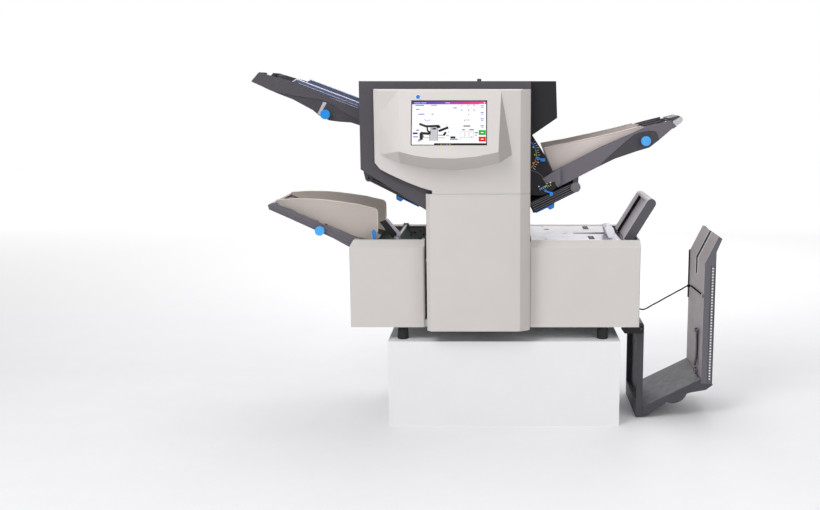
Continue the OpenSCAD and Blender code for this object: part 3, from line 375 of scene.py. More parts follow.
# support colour darkened as painted shade, for the support's sides
support_painted_shade = surface("support_painted_shade", srgb(84, 82, 87), 0.50, grain=1300, depth=0.05, blotch=0.05, edge_wear_and_highlight=0.3)
stacker_dark = surface("stacker_dark", srgb(68, 66, 73), 0.50, grain=1300, depth=0.05, blotch=0.05, edge_wear_and_highlight=0.35)
stacker_face = surface("stacker_face", srgb(164, 155, 159), 0.46, grain=1300, depth=0.04, blotch=0.04, edge_wear_and_highlight=0.3)
stacker_side = surface("stacker_side", srgb(98, 96, 104), 0.48, grain=1300, depth=0.04, blotch=0.04, edge_wear_and_highlight=0.3)
guide_pale = surface("right_guide", srgb(220, 209, 205), 0.40, grain=1.0, depth=0.05, blotch=0.05, edge_wear_and_highlight=0.3,
                     streaks=BRUSH_ALONG, lean=BRUSH_FALL, specular=0.55)
tray_inner = surface("tray_inside", srgb(172, 165, 160), 0.45, grain=1300, depth=0.04, blotch=0.04)
# paler than the parts they stand on: painted highlights on ribs and ridges
ridge_highlight_tone = surface("flap_ridge_painted_highlight", srgb(118, 114, 122), 0.4, grain=1300, depth=0.03, blotch=0.04)
deep_sky = surface("deep_knob", srgb(22, 142, 226), 0.28, grain=1200, depth=0.015, blotch=0.05, edge_wear_and_highlight=0.3, coat=0.3)
# silver: the end clips, and a painted highlight beside the upper left knob
silver_and_highlight = surface("silver_clip_and_painted_highlight", srgb(206, 206, 212), 0.3, grain=1200, depth=0.02, blotch=0.03, metallic=0.3)
# cover colour darkened as painted shade, for the bevels of the head panel and column that face right
cover_painted_shade = surface("cover_painted_shade", srgb(186, 180, 177), 0.46, grain=1500, depth=0.02, blotch=0.02, edge_wear_and_highlight=0.25)
# darker still, as painted shade on the display housing's right side
ramp_painted_shade = surface("ramp_painted_shade", srgb(176, 170, 166), 0.46, grain=1500, depth=0.02, blotch=0.02, edge_wear_and_highlight=0.25)
deep_blue = surface("deep_blue", srgb(0, 110, 222), 0.4, grain=1200, depth=0.01, blotch=0.02)
jacket = surface("cable_jacket", srgb(4, 4, 4), 0.7, grain=1200, depth=0.02, blotch=0.1, specular=0.05)
glass = surface("screen_glass", srgb(14, 14, 16), 0.10, grain=300, depth=0.002, blotch=0.1, coat=0.6)
# pale: the power button's ring and the tray's end strips, painted light in the rail's holes, and a painted highlight
# along its track
pale = surface("pale_part_and_painted_light", srgb(226, 226, 226), 0.35, grain=1200, depth=0.02, blotch=0.03)
# near black: painted shadow in the support's groove, the plate's holes, the screw sockets and the rail's track, and
# thin dark lines on the rail
seam_and_painted_shadow = surface("seam_shadow", srgb(22, 22, 24), 0.8, grain=900, depth=0.05, blotch=0.1)
# cover colour darkened as painted shade, for the display housing's underside
chin_painted_shade = surface("housing_chin_painted_shade", srgb(194, 188, 184), 0.46, grain=1500, depth=0.02, blotch=0.02, edge_wear_and_highlight=0.25)

# ---------- stacker cable ----------

CABLE_R = 2.25
CABLE_STEPS = 5                               # points of the line for each step of the route
CABLE_ROUTE = [
    (485, 145, 52), (490, 145, 52), (495, 145, 52), (501, 145, 49), (506, 145, 42), (511, 144.5, 34),
    (517, 144, 27), (525, 143, 22.5), (535, 141, 22), (546, 138, 27), (560, 134, 37), (580, 127, 50),
    (600, 120, 64), (620, 114, 77), (638, 108, 89), (652, 103, 98), (663, 97, 107), (671, 88, 112),
    (674.5, 74, 114), (675.5, 56, 115), (675.5, 32, 117), (675.5, 8, 118), (675.5, -16, 119),
    (675.5, -40, 120), (675.5, -64, 121), (675.5, -88, 122), (675.5, -112, 122),
]


def smooth_route(points, steps):
    """Catmull-Rom line through points."""
    route = [Vector(p) for p in points]
    line = []
    for i in range(len(route) - 1):
        a, b, c, d = route[max(i - 1, 0)], route[i], route[i + 1], route[min(i + 2, len(route) - 1)]
        for k in range(steps):
            t = k / steps
            line.append(0.5 * (2 * b + (c - a) * t + (2 * a - 5 * b + 4 * c - d) * t * t
                               + (3 * b - 3 * c + d - a) * t ** 3))
    return line + [route[-1]]


def tube(name, line, radius, sides=12):
    """Mesh tube along a line in millimetres, closed by a flat cap at both ends."""
    mesh, rings = bmesh.new(), []
    for i, point in enumerate(line):
        along = (line[min(i + 1, len(line) - 1)] - line[max(i - 1, 0)]).normalized()
        u = along.cross(Z_AXIS).normalized()
        v = along.cross(u)
        turns = [2 * math.pi * k / sides for k in range(sides)]
        rings.append([mesh.verts.new((point + radius * (math.cos(t) * u + math.sin(t) * v)) * MM) for t in turns])
    for first, second in zip(rings, rings[1:]):
        for k in range(sides):
            mesh.faces.new((first[k], first[(k + 1) % sides], second[(k + 1) % sides], second[k]))
    mesh.faces.new(rings[0])
    mesh.faces.new(rings[-1])
    bmesh.ops.recalc_face_normals(mesh, faces=mesh.faces)
    data = bpy.data.meshes.new(name)
    mesh.to_mesh(data)
    mesh.free()
    for polygon in data.polygons:
        polygon.use_smooth = len(polygon.vertices) == 4
    piece = bpy.data.objects.new(name, data)
    bpy.context.scene.collection.objects.link(piece)
    return piece


cable_line = smooth_route(CABLE_ROUTE, CABLE_STEPS)
cable = tube("cable", cable_line, CABLE_R)
cable.data.materials.append(jacket)
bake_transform(cable)
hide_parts("stacker_cable")

# ---------- CAD nodes: materials and rounded edges ----------

# node: (materials, bevel in millimetres)
DRESS = {
    "base_plate": ([zinc], 0), "feet": ([rubber], 0), "left_cover": ([cover], 1.2), "right_cover": ([cover], 1.2),
    "left_frame": ([green], 0), "right_frame": ([zinc], 0), "column_frame": ([zinc], 0),
    "column_front_cover": ([cover, cover_painted_shade], 1.2), "column_rear_cover": ([cover], 1.0),
    "head_shell": ([dark], 1.0), "head_right_cover": ([black], 1.0), "head_panel": ([cover, cover_painted_shade], 1.2),
    "display_housing": ([cover, chin_painted_shade, ramp_painted_shade], 1.6), "display_screen": ([glass], 0),
    "power_button": ([sky], 0.6), "top_cover": ([dark], 1.0), "lid_hinge_pin": ([zinc], 0),
    "upper_left_tray": ([tray_low], 1.0), "upper_left_guide_front": ([guide_blue], 0.6),
    "upper_left_guide_rear": ([guide_blue], 0.6), "upper_left_screw": ([steel], 0),
    "upper_left_knob": ([deep_sky], 0.8), "upper_left_extension": ([dark], 0.6),
    "lower_left_tray": ([tray, tray_inner], 1.0), "lower_left_guide_front": ([guide_tan], 0.5),
    "lower_left_guide_rear": ([guide_tan], 0.5), "lower_left_screw": ([steel], 0), "lower_left_knob": ([sky], 0.8),
    "lower_left_lever": ([blue], 0.8), "lower_left_flap": ([deck], 0.8), "right_tray": ([tray_low], 1.0),
    "right_guide_front": ([guide_pale], 0.5), "right_guide_rear": ([guide_pale], 0.5), "right_screw": ([steel], 0),
    "right_knob": ([sky], 0.8), "right_extension": ([dark], 0.6), "right_feeder_plates": ([black], 0.8),
    "separation_lever": ([blue], 0.8), "gap_lever": ([blue], 0.8), "left_path_flap": ([black], 0.8),
    "left_flap_latch": ([blue], 0.6), "right_path_flap": ([black], 0.8), "right_flap_latch": ([blue], 0.6),
    "envelope_deck": ([deck], 0.6), "envelope_roller": ([roller], 0), "envelope_wedge": ([white], 1.5),
    "envelope_support": ([support, support_painted_shade, seam_and_painted_shadow], 1.5), "fold_roller_a": ([roller], 0),
    "fold_roller_b": ([roller], 0), "fold_roller_c": ([roller], 0), "fold_motor": ([black], 0.8),
    "motor_pinion": ([steel], 0), "power_inlet": ([black], 0.4), "stacker_dock": ([black], 0.8),
    "stacker_wall": ([stacker_dark], 1.5), "stacker_base": ([stacker_dark], 1.5),
    "stacker_rail": ([stacker_face, stacker_side], 1.2), "stacker_backplate": ([black], 0.6),
}
PIERCED = ("column_rear_cover",)              # a face with many slots stays in triangles
WELD = {"display_housing": 0.0007}            # metres; the housing's corners are tiny cubes
WELD_FINE = 0.00002
FLAT_ANGLE = math.radians(0.6)                # faces flatter than this become one
PLAIN_EDGE = 0.15                             # bevel of a node that has none in DRESS


def dress(name, materials, bevel):
    """Gives a CAD node its materials and rounded edges."""
    node = nodes[name]
    node.data.materials.clear()
    for material in materials:
        node.data.materials.append(material)
    for attribute in ("custom_normal", "sharp_face", "sharp_edge"):
        found = node.data.attributes.get(attribute)
        if found:
            node.data.attributes.remove(found)
    weld = node.modifiers.new("weld", "WELD")
    weld.merge_threshold = WELD.get(name, WELD_FINE)
    flat = node.modifiers.new("flat", "DECIMATE")
    flat.decimate_type = "DISSOLVE"
    flat.angle_limit = 0.0 if name in PIERCED else FLAT_ANGLE
    flat.delimit = {"MATERIAL"}
    soften(node, bevel or PLAIN_EDGE, 2 if bevel else 1)
    node.modifiers["edges"].use_clamp_overlap = True


for node_name, (looks, width) in DRESS.items():
    dress(node_name, looks, width)


def paint(name, index, test):
    """Gives the faces of a CAD node that pass a test on their normal and centre another of its materials."""
    for polygon in nodes[name].data.polygons:
        if test(polygon.normal, polygon.center):
            polygon.material_index = index


# painted shade: a darker colour on the support's edges and outer face, and then a near black one on the walls of the
# groove in it
paint("envelope_support", 1, lambda n, c: n.y < -0.7 or n.y > 0.7 or n.x > 0.5)
paint("envelope_support", 2, lambda n, c: abs(n.y) > 0.7 and abs(c.y) < 0.1 and c.x < 0.52)
# the lower left tray's floor
paint("lower_left_tray", 1, lambda n, c: n.z > 0.5 and abs(c.y) < 0.129)
# the rail's sides and outer face
paint("stacker_rail", 1, lambda n, c: abs(n.y) > 0.7 or n.x > 0.5)
# painted shade: darker colours on the housing's underside and right side, and on the bevels that face right
paint("display_housing", 1, lambda n, c: n.z < -0.25 and n.x > -0.3)
paint("display_housing", 2, lambda n, c: n.x > 0.3)
for shaded in ("head_panel", "column_front_cover"):
    paint(shaded, 1, lambda n, c: 0.3 < n.x < 0.95 and n.y < -0.3)

# ---------- screen picture ----------

# the housing's face leans forward from its top edge
FACE_TOP_Y, FACE_TOP_Z = -240, 735
FACE_RUN, FACE_DROP = 58, 169
TILT = math.atan2(FACE_RUN, FACE_DROP)


def on_face(x, z):
    return x, FACE_TOP_Y - (FACE_TOP_Z - z) * FACE_RUN / FACE_DROP, z


SCREEN_AT = on_face(-79.5, 646)
SCREEN_W, SCREEN_H = 212.0, 130.0
BAR_HALF = 108                                # half the length of the bar's colour sweep
GLASS_TOP, GLASS_SINK = 0.8, 0.3
MARK = 1.4                                    # strokes are drawn this much bolder
PICTURE_MARK = 1.5                            # and those of the machine's picture bolder again
LAYER = 0.12
FACE = Plane(SCREEN_AT, X_AXIS, Vector((0, math.sin(TILT), math.cos(TILT))))

inks = {}
for ink, tone in {
    "page": (240, 240, 243), "paper": (252, 252, 254), "line": (196, 200, 226), "blue": (72, 84, 190),
    "sky": (110, 182, 232), "violet": (82, 60, 110), "black": (18, 18, 20), "grey": (138, 138, 142),
    "green": (0, 168, 36), "red": (222, 12, 22), "yellow": (240, 200, 20), "orange": (246, 150, 20),
    "tan": (190, 188, 192), "pink": (238, 120, 120),
}.items():
    inks[ink] = surface("ink_" + ink, srgb(*tone), 0.18, grain=2400, depth=0.002, blotch=0.02, coat=0.2, glow=0.1)
bar_span = ((SCREEN_AT[0] - BAR_HALF) * MM, (SCREEN_AT[0] + BAR_HALF) * MM)
inks["bar"] = surface(
    "ink_bar", srgb(120, 20, 150), 0.18, grain=2400, depth=0.002, coat=0.2, glow=0.1, ramp_span=bar_span,
    ramp=[(0.0, srgb(26, 24, 150)), (1.0, srgb(238, 20, 130)), (0.36, srgb(98, 30, 170)), (0.68, srgb(190, 0, 130))],
)
ink_names = list(inks)


class Screen(Shape):
    """Draws on the screen in hundredths of its width and height, from its lower left corner."""

    def spot(self, a, b):
        return ((a / 100 - 0.5) * SCREEN_W, (b / 100 - 0.5) * SCREEN_H)

    def heights(self, layer):
        return GLASS_TOP - GLASS_SINK, GLASS_TOP + LAYER * layer

    def block(self, a0, b0, a1, b1, ink, layer=1):
        (x0, y0), (x1, y1) = self.spot(a0, b0), self.spot(a1, b1)
        return self.box(x0, y0, x1, y1, *self.heights(layer), ink_names.index(ink))

    def stroke(self, a, b, width, ink, layer=2):
        return self.bar(self.spot(*a), self.spot(*b), MARK * width, *self.heights(layer), ink_names.index(ink))

    def dot(self, at, radius, ink, layer=3):
        return self.disc(self.spot(*at), radius, *self.heights(layer), ink_names.index(ink), 16)

    def hoop(self, at, radius, line, ink, layer=3):
        return self.ring(self.spot(*at), radius, radius - line, *self.heights(layer), ink_names.index(ink), 20)

    def button(self, at, width, height, fill, edge, layer=2, radius=3.0):
        centre = self.spot(*at)
        self.pill(centre, width, height, *self.heights(layer), ink_names.index(fill), radius)
        if edge:
            self.frame(centre, width, height, 0.5, *self.heights(layer + 0.4), ink_names.index(edge), radius)
        return self


screen = Screen(FACE)
screen.block(1.2, 4.6, 98.8, 91.0, "page")
screen.block(1.2, 91.0, 98.8, 97.4, "bar")
screen.block(88.6, 4.6, 98.6, 91.0, "paper", 1.5)
screen.button((16, 3.6), 62, 5.4, "paper", None, 1.6, 1.2)
# status bar: a short pill at each place where a machine shows its state
for left, right in ((4, 12), (13, 20), (45, 51)):
    screen.stroke((left, 94.2), (right, 94.2), 1.4, "line", 2)
screen.dot((96.6, 94.2), 1.6, "paper", 3)
# tabs, with the buttons below and beside them
for left, right, row, tone in ((5.5, 17, 88.6, "blue"), (26, 34, 88.6, "grey"), (9.5, 17.5, 69, "blue"),
                               (26.8, 29.4, 69, "blue")):
    screen.stroke((left, row), (right, row), 1.7, tone)
screen.button((8.6, 79.5), 19, 9.5, "paper", "line")
screen.stroke((6.4, 79.5), (10.8, 79.5), 1.8, "blue", 3)
screen.button((57.6, 83), 21, 9.5, "paper", "line")
screen.stroke((55.2, 83), (60.2, 83), 2.0, "blue", 3)
# arrow keys
for column, row in ((66.6, 88.4), (75.4, 88.6), (83, 88.2), (66.6, 78), (75.4, 78), (83, 78), (75.4, 67.4)):
    screen.hoop((column, row), 3.6, 0.4, "line", 2)
for column, way in ((66.6, -1), (75.4, 1)):
    for rise in (-2, 2):
        screen.stroke((column + 0.7 * way, 78), (column - 0.5 * way, 78 + rise), 0.8, "blue")
screen.hoop((83, 78), 2.2, 0.8, "blue")
screen.hoop((83, 88.4), 1.8, 0.7, "blue")
screen.dot((66.6, 88.4), 1.0, "blue")
screen.stroke((74.4, 88.6), (76.4, 88.6), 0.9, "blue")
screen.dot((75.4, 67.4), 1.3, "blue")
# keys down the right side, with start and stop
for row in (86, 71, 57, 42):
    screen.button((93.8, row), 20, 15, "paper", "line", 1.9, 1.6)
    for k, (low, high) in enumerate(((-2.6, 2.6), (-1.6, 1.6))):
        screen.stroke((93.8 + low, row + 1.6 - 3.4 * k), (93.8 + high, row + 1.6 - 3.4 * k), 1.5, "blue", 3)
screen.button((93.8, 28.2), 20, 14.5, "green", None, 2.4, 1.4)
screen.stroke((92, 28.2), (95.6, 28.2), 1.6, "paper", 3)
screen.button((93.8, 13.6), 20, 14.5, "red", None, 2.4, 1.4)
screen.stroke((92.2, 13.6), (95.4, 13.6), 1.6, "paper", 3)
# picture of a machine with three trays: start, end, width and ink of each stroke
PICTURE = [
    ((11, 47.5), (20.5, 41.5), 3.0, "black"), ((20.5, 42), (37, 43), 3.0, "black"),
    ((21.2, 42), (22, 31), 2.0, "black"), ((22, 31.5), (26, 28.5), 2.2, "black"),
    ((36, 43.5), (36.4, 38), 5.0, "black"), ((36.5, 31.5), (49, 39.5), 3.2, "black"),
    ((12.5, 27), (26, 25.5), 3.4, "black"), ((13.4, 27), (13.8, 12), 4.2, "black"),
    ((9.6, 10), (14, 12.8), 2.4, "grey"), ((15, 25), (17, 17), 1.6, "grey"),
    ((36, 22.4), (43.4, 22), 1.4, "grey"), ((43, 22), (46, 29), 3.0, "black"),
    ((24.8, 26), (24.8, 10), 0.8, "grey"), ((35.2, 36), (35.2, 10), 0.8, "grey"),
    ((18, 16.6), (24, 16.6), 0.8, "grey"), ((36, 16.4), (45, 16.4), 0.8, "grey"),
]
screen.block(24.6, 10, 35.2, 40, "tan", 1.4)
screen.block(27, 34.5, 33.2, 39, "grey", 1.8)
screen.block(29.4, 35, 32.6, 38.4, "black", 2.2)
for start, end, width, tone in PICTURE:
    screen.stroke(start, end, PICTURE_MARK * width, tone)
for place, tone in (((24.4, 56), "pink"), ((46.9, 44.6), "orange"), ((49.4, 29.5), "sky"), ((18.6, 16.6), "sky"),
                    ((80, 18.6), "blue")):
    screen.dot(place, 1.5, tone)
for start, end, tone in (((17.6, 57.4), (20.4, 53.6), "grey"), ((20.4, 53.6), (23.8, 55.6), "sky")):
    screen.stroke(start, end, 1.2, tone)
screen.hoop((41, 47), 2.2, 0.5, "line")
for left, right, row, width, tone in (
    (7.2, 10.8, 33.4, 2.2, "violet"), (2.6, 9, 26.4, 3.4, "black"), (3, 9.4, 18.6, 2.0, "blue"),
    (46.6, 50, 21, 1.8, "grey"), (52, 58.6, 17.4, 4.0, "black"), (51.4, 61.4, 13.2, 2.6, "grey"),
    (62, 67, 13.8, 1.4, "line"), (69, 78, 42.6, 2.4, "violet"), (67, 71, 34.4, 2.0, "violet"),
    (76.8, 82.8, 34.4, 2.0, "violet"), (84, 88, 27.6, 2.0, "violet"), (84.4, 87, 22, 1.6, "grey"),
    (8, 16, 7.4, 1.2, "line"), (70, 77.6, 56, 1.0, "grey"), (70, 70.6, 54, 3.0, "grey"),
):
    screen.stroke((left, row), (right, row), width, tone)
# folded sheet: an outline with two fold lines
screen.frame(screen.spot(74, 23.6), 37, 18, 0.9, *screen.heights(2), ink_names.index("sky"), 2.0)
for column in (71, 76.4):
    screen.block(column - 0.6, 18.4, column + 0.6, 28.6, "tan", 1.8)
# coloured dots in the bottom strip
for place, tone in ((36, "blue"), (40, "yellow"), (43.8, "grey"), (47.6, "line"), (51.4, "yellow")):
    screen.dot((place, 2.3), 1.4, tone, 2)
screen.done("screen_picture", "machine", "screen", list(inks.values()))

# ---------- power button: ring and disc ----------

KEY = Plane(on_face(-167, 717), X_AXIS, FACE.up)
Shape(KEY).ring((0, 0), 8.2, 5.9, -0.4, 0.7).done("button_ring", "machine", "cover", [pale], 0.25)
Shape(KEY).disc((0, 0), 5.2, 2.0, 2.3, 0, 32).done("button_disc", "power_button", "blue_control", [deep_blue], 0.1)

# ---------- trays: raised bands over the recessed sides ----------

UL_TOP = [(-659, 760.5), (-635.5, 786), (-589, 772), (-537, 758), (-456, 724), (-336.5, 672)]
UL_SWEEP = [(-336.5, 640), (-347.6, 646), (-370, 659), (-397.5, 675), (-420, 690), (-441, 701.6), (-455, 706.5),
            (-468, 709), (-515, 716.3), (-560, 723.6), (-604, 734)]
R_TOP = [(193, 483.5), (222, 502), (357, 569), (460, 614), (488, 628), (521, 637), (561, 647), (579, 631)]
R_SWEEP = [(568, 625.5), (529, 592), (524, 607), (520, 615), (512, 617), (498, 617.5), (485, 615.5), (471, 612.5),
           (455, 606), (430, 586), (402, 560), (375, 536), (351, 512.5), (266, 468.5), (234, 452.5)]
BAND_Y = 135.0
BAND_T = 2.0


def tray_band(name, points, material):
    """A raised band on both outer sides of a tray."""
    shape = Shape()
    for low in (BAND_Y, -BAND_Y - BAND_T):
        shape.prism(points, low, low + BAND_T)
    return shape.done(name, "machine", "tray", [material], 0.7)


tray_band("upper_left_bands", UL_TOP + UL_SWEEP, dark)
tray_band("right_bands", R_TOP + R_SWEEP, tray)
# painted highlight: a silver strip on the edge of the hollow beside the upper left knob
GLINT_T = 0.8
glint = Shape()
for low in (BAND_Y, -BAND_Y - GLINT_T):
    glint.prism([(-470, 667), (-462, 664), (-442, 699), (-452, 702)], low, low + GLINT_T)
glint.done("upper_left_glints", "machine", "tray", [silver_and_highlight], 0.3)

# lower left tray: a long channel with three ribs along it, paler than the tray as a painted highlight
ribs = Shape()
for low in (BAND_Y, -BAND_Y - BAND_T):
    for start, end, width in (((-617, 402), (-381, 297), 3.0), ((-618, 392.5), (-384, 288.5), 2.0),
                              ((-619, 387), (-386, 279.5), 2.6)):
        ribs.bar(start, end, width, low, low + BAND_T)
ribs.done("lower_left_ribs", "machine", "tray", [ridge_highlight_tone], 0.5)

# pale edge at the outer end of the upper left tray
ends = Shape(Plane((-660, 0, 760), Y_AXIS, Vector((24, 0, 27)).normalized()))
for left in (-136.5, 53):
    ends.box(left, 2, left + 83.5, 34, -1.2, 0.2)
ends.done("upper_left_end_strip", "machine", "tray", [pale], 0.3)

# ribs on the lower left tray's floor, near its outer end
floor_ribs = Shape(PLAN)
for middle in (-40, 0, 40):
    floor_ribs.taper([(-600, middle - 7), (-548, middle - 7), (-548, middle + 7), (-600, middle + 7)],
                     [(-592, middle - 5), (-556, middle - 5), (-556, middle + 5), (-592, middle + 5)], 372, 401)
floor_ribs.done("lower_left_floor_ribs", "machine", "tray", [tray], 0.5)

# ---------- guides: rolled edges ----------

UL_RIM = [(-544, 759), (-532, 767), (-350, 698)]
LL_RIM = [(-608, 406), (-602, 412), (-575, 413.8), (-545, 415), (-515, 414.8), (-486, 414), (-452, 411),
          (-420, 407), (-365, 399), (-324, 389), (-313.7, 386.8), (-308, 384), (-304.6, 379.6), (-303.2, 376),
          (-303, 340), (-305, 315)]
R_RIM = [(222, 494), (207, 531), (192, 568), (226, 574), (262, 580), (308, 590), (355, 600), (417, 614),
         (479, 630)]
RIM_Y, BEAD_Y = 111.0, 112.2
for feeder, outline, radius, material, slot in (
    ("upper_left", UL_RIM, 2.0, rim_pale, "blue_grey_guide"), ("lower_left", LL_RIM, 2.1, rim_tan, "tan_guide"),
    ("right", R_RIM, 2.1, rim_tan, "tan_guide"),
):
    for where, depth in (("front", -RIM_Y), ("rear", RIM_Y)):
        wire(f"{feeder}_{where}_rim", [(x, depth, z) for x, z in outline], radius, material,
             f"{feeder}_{where}_guide")
# long beads on the blue-grey guides
for where, depth in (("front", -BEAD_Y), ("rear", BEAD_Y)):
    beads = Shape()
    for drop in (6, 13, 20):
        beads.bar((-528, 762 - drop), (-356, 697 - drop), 1.3, -depth - 0.5, -depth + 0.5)
    beads.done(f"upper_left_{where}_beads", f"upper_left_{where}_guide", "blue_grey_guide", [rim_pale])

# ---------- right feeder plate: scales, screws and cover arc ----------

PLATE_FRONT = 150.0
PLATE_SINK, PLATE_RISE = 0.4, 0.5             # how deep a mark sits in the plate, and how proud
marks = {}
for mark, tone in {"blue": (32, 120, 225), "green": (120, 190, 70), "orange": (226, 110, 40),
                   "white": (236, 236, 230), "amber": (240, 205, 90)}.items():
    marks[mark] = surface("mark_" + mark, srgb(*tone), 0.35, grain=1500, depth=0.01, blotch=0.03)
mark_names = list(marks)


def arc_strip(shape, centre, radius, width, start, end, low, high, tone, steps=8):
    """A printed arc, as one thin solid."""
    turns = [math.radians(start + (end - start) * i / steps) for i in range(steps + 1)]
    outer, inner = ([(centre[0] + r * math.cos(t), centre[1] + r * math.sin(t)) for t in turns]
                    for r in (radius + width / 2, radius - width / 2))
    shape.prism(outer + inner[::-1], low, high, mark_names.index(tone))


SCALE_C, SCALE_R = (114.0, 548.0), 55.0
scale = Shape()
for start, end, tone in ((46, 14, "blue"), (14, -6, "green"), (-6, -26, "orange"), (-26, -42, "orange")):
    arc_strip(scale, SCALE_C, SCALE_R, 2.4, start, end, PLATE_FRONT - PLATE_SINK, PLATE_FRONT + PLATE_RISE, tone)
for k in range(13):
    turn = math.radians(40 - 6.6 * k)
    reach = 8.0 if k % 3 == 0 else 5.0
    start, end = ((SCALE_C[0] + r * math.cos(turn), SCALE_C[1] + r * math.sin(turn))
                  for r in (SCALE_R + 4, SCALE_R + 4 + reach))
    scale.bar(start, end, 1.2, PLATE_FRONT - PLATE_SINK, PLATE_FRONT + PLATE_RISE, mark_names.index("white"))
for place in ((160, 571), (164, 549), (160, 525)):
    scale.disc(place, 1.9, PLATE_FRONT - PLATE_SINK, PLATE_FRONT + 0.7, mark_names.index("amber"), 16)
scale.done("separation_scale", "machine", "dark_frame", list(marks.values()))

# marks on the raised block behind the gap lever
BLOCK_FRONT = 153.0
gap_marks = Shape()
for start, end, tone in (((178, 449.5), (192, 455.5), "blue"), ((192, 455.5), (201, 459.5), "green")):
    gap_marks.bar(start, end, 3.0, BLOCK_FRONT - 0.2, BLOCK_FRONT + 0.5, mark_names.index(tone))
for k in range(7):
    base = (181 + 5.2 * k, 445.2 + 2.1 * k)
    gap_marks.bar(base, (base[0] - 1.6, base[1] + 4.2), 1.1, BLOCK_FRONT - 0.2, BLOCK_FRONT + 0.5,
                  mark_names.index("white"))
for place, tone in (((177, 456.5), "white"), ((201, 465), "amber"), ((210.5, 468), "white")):
    gap_marks.disc(place, 2.0, BLOCK_FRONT - 0.2, BLOCK_FRONT + 0.6, mark_names.index(tone), 14)
gap_marks.done("gap_scale_marks", "machine", "dark_frame", list(marks.values()))

screws = Shape()
for place in ((185, 552), (202.5, 493.5), (159.5, 590), (158, 439)):
    screws.dome(place, 4.2, PLATE_FRONT - 0.5, PLATE_FRONT + 3.0)
screws.done("feeder_plate_screws", "machine", "dark_frame", [black])
# thin raised arc round the lower corner of the plate
corner = [[(152.5 + r * math.cos(t), 446 + (r + 10) * math.sin(t))
           for t in [math.radians(10 + 78 * i / 12) for i in range(13)]] for r in (46.0, 47.4)]
Shape().prism(corner[0] + corner[1][::-1], PLATE_FRONT - PLATE_SINK, PLATE_FRONT + 0.6).done(
    "feeder_corner_line", "machine", "dark_frame", [tray])
# the tray's band passes in front of the plate
tip = Shape()
tip.prism([(186, 478.5), (226, 503), (226, 461), (197, 468.5)], PLATE_FRONT - 0.2, PLATE_FRONT + 1.4)
tip.prism([(225.5, 502.7), (240, 510), (240, 470), (234, 454), (226, 461)], BAND_Y, PLATE_FRONT + 1.4)
tip.done("right_band_tip", "machine", "tray", [tray], 0.4)

# ---------- flaps: ridges along the path flaps, the roller flap's cheek, the right flap's clear end ----------


def ridges(name, body, start, end, depth, drops, material):
    """Long ridges on the front and rear edges of a flap, paler than the flap as a painted highlight."""
    shape = Shape()
    along = (Vector(end) - Vector(start)).normalized()
    across = Vector((-along.y, along.x))
    for low in (depth, -depth - 1.0):
        for drop in drops:
            shape.bar(Vector(start) + across * drop, Vector(end) + across * drop, 1.8, low, low + 1.0)
    return shape.done(name, body, "dark_frame", [material], 0.3)


FLAP_END, FLAP_END_R = (286, 452), 15.0
ridges("left_flap_ridges", "left_flap", (-318, 479.5), (-160, 401.5), 145.8, (-6.5, -1.0, 5.5), ridge_highlight_tone)
ridges("right_flap_ridges", "right_flap", (160, 391.5), (284, 451), 124.8, (-12, -6, 1, 7, 12), ridge_highlight_tone)
Shape().prism([(-299, 344), (-281, 351), (-248, 309), (-252, 294), (-262, 297)], 100.0, 102.6).done(
    "roller_flap_cheek", "roller_flap", "dark_frame", [black], 0.5)
clear = surface("clear_end", srgb(150, 148, 152), 0.12, grain=500, depth=0.02, blotch=0.05, coat=0.5, through=0.5)
end_caps = Shape()
for low in (135.3, -137.0):
    end_caps.disc(FLAP_END, FLAP_END_R, low, low + 1.7, 0, 32)
end_caps.done("right_flap_end_caps", "right_flap", "dark_frame", [clear], 0.8)

# ---------- right extension: pale end clip ----------

clip = Shape()
for low in (59.8, -61.4):
    clip.prism([(580, 643), (585, 631), (594, 630), (608, 641), (611, 651.5), (604, 657)], low, low + 1.6)
clip.done("stop_clips", "right_stop", "dark_frame", [silver_and_highlight], 0.5)

# ---------- envelope deck and lower left module ----------

DECK_Z = 298.0
sockets = Shape(PLAN)
for place in ((200, -140), (405, -140), (200, 140), (405, 130)):
    sockets.dome(place, 4.0, DECK_Z - 0.3, DECK_Z + 1.4)
sockets.done("deck_screws", "machine", "deck", [zinc])

# rear plate of the left module: holes, drawn as near black discs of painted shadow, and brackets that show above the
# cover
inside = Shape()
for x, z, r in ((-214, 276, 4), (-196, 283, 2.2), (-186, 270, 3), (-206, 262, 2.2), (-176, 284, 2.2), (-226, 268, 3)):
    inside.disc((x, z), r, -143.9, -143.2, 0, 18)
inside.done("left_plate_holes", "machine", "green_steel", [seam_and_painted_shadow])
bracket = Shape()
bracket.prism([(-224, 252), (-202, 252), (-202, 262), (-216, 276), (-224, 276)], -143.9, -139)
bracket.prism([(-190, 250), (-172, 250), (-172, 266), (-190, 258)], -143.9, -138)
bracket.done("left_plate_brackets", "machine", "green_steel", [zinc], 0.4)

# ---------- stacker ----------

HOLE_X, HOLE_TOP, HOLE_PITCH, HOLE_COUNT = 703.0, 206.0, 8.8, 40
# pale discs just inside the rail's holes, of this radius and thickness: painted light, the bright background seen
# through them
HOLE_LIGHT_R, HOLE_LIGHT_T = 2.7, 0.4
dots = Shape()
for low in (124.9, -125.3):
    for k in range(HOLE_COUNT):
        dots.disc((HOLE_X, HOLE_TOP - HOLE_PITCH * k), HOLE_LIGHT_R, low, low + HOLE_LIGHT_T, 0, 12)
dots.done("rail_hole_painted_light", "stacker", "stacker_grey", [pale])
edge = Shape()
for low in (124.8, -125.5):
    for left in (696.6, 708.4):
        edge.box(left, -148, left + 1.0, 216, low, low + 0.7)
edge.done("rail_edge_lines", "stacker", "stacker_grey", [seam_and_painted_shadow])

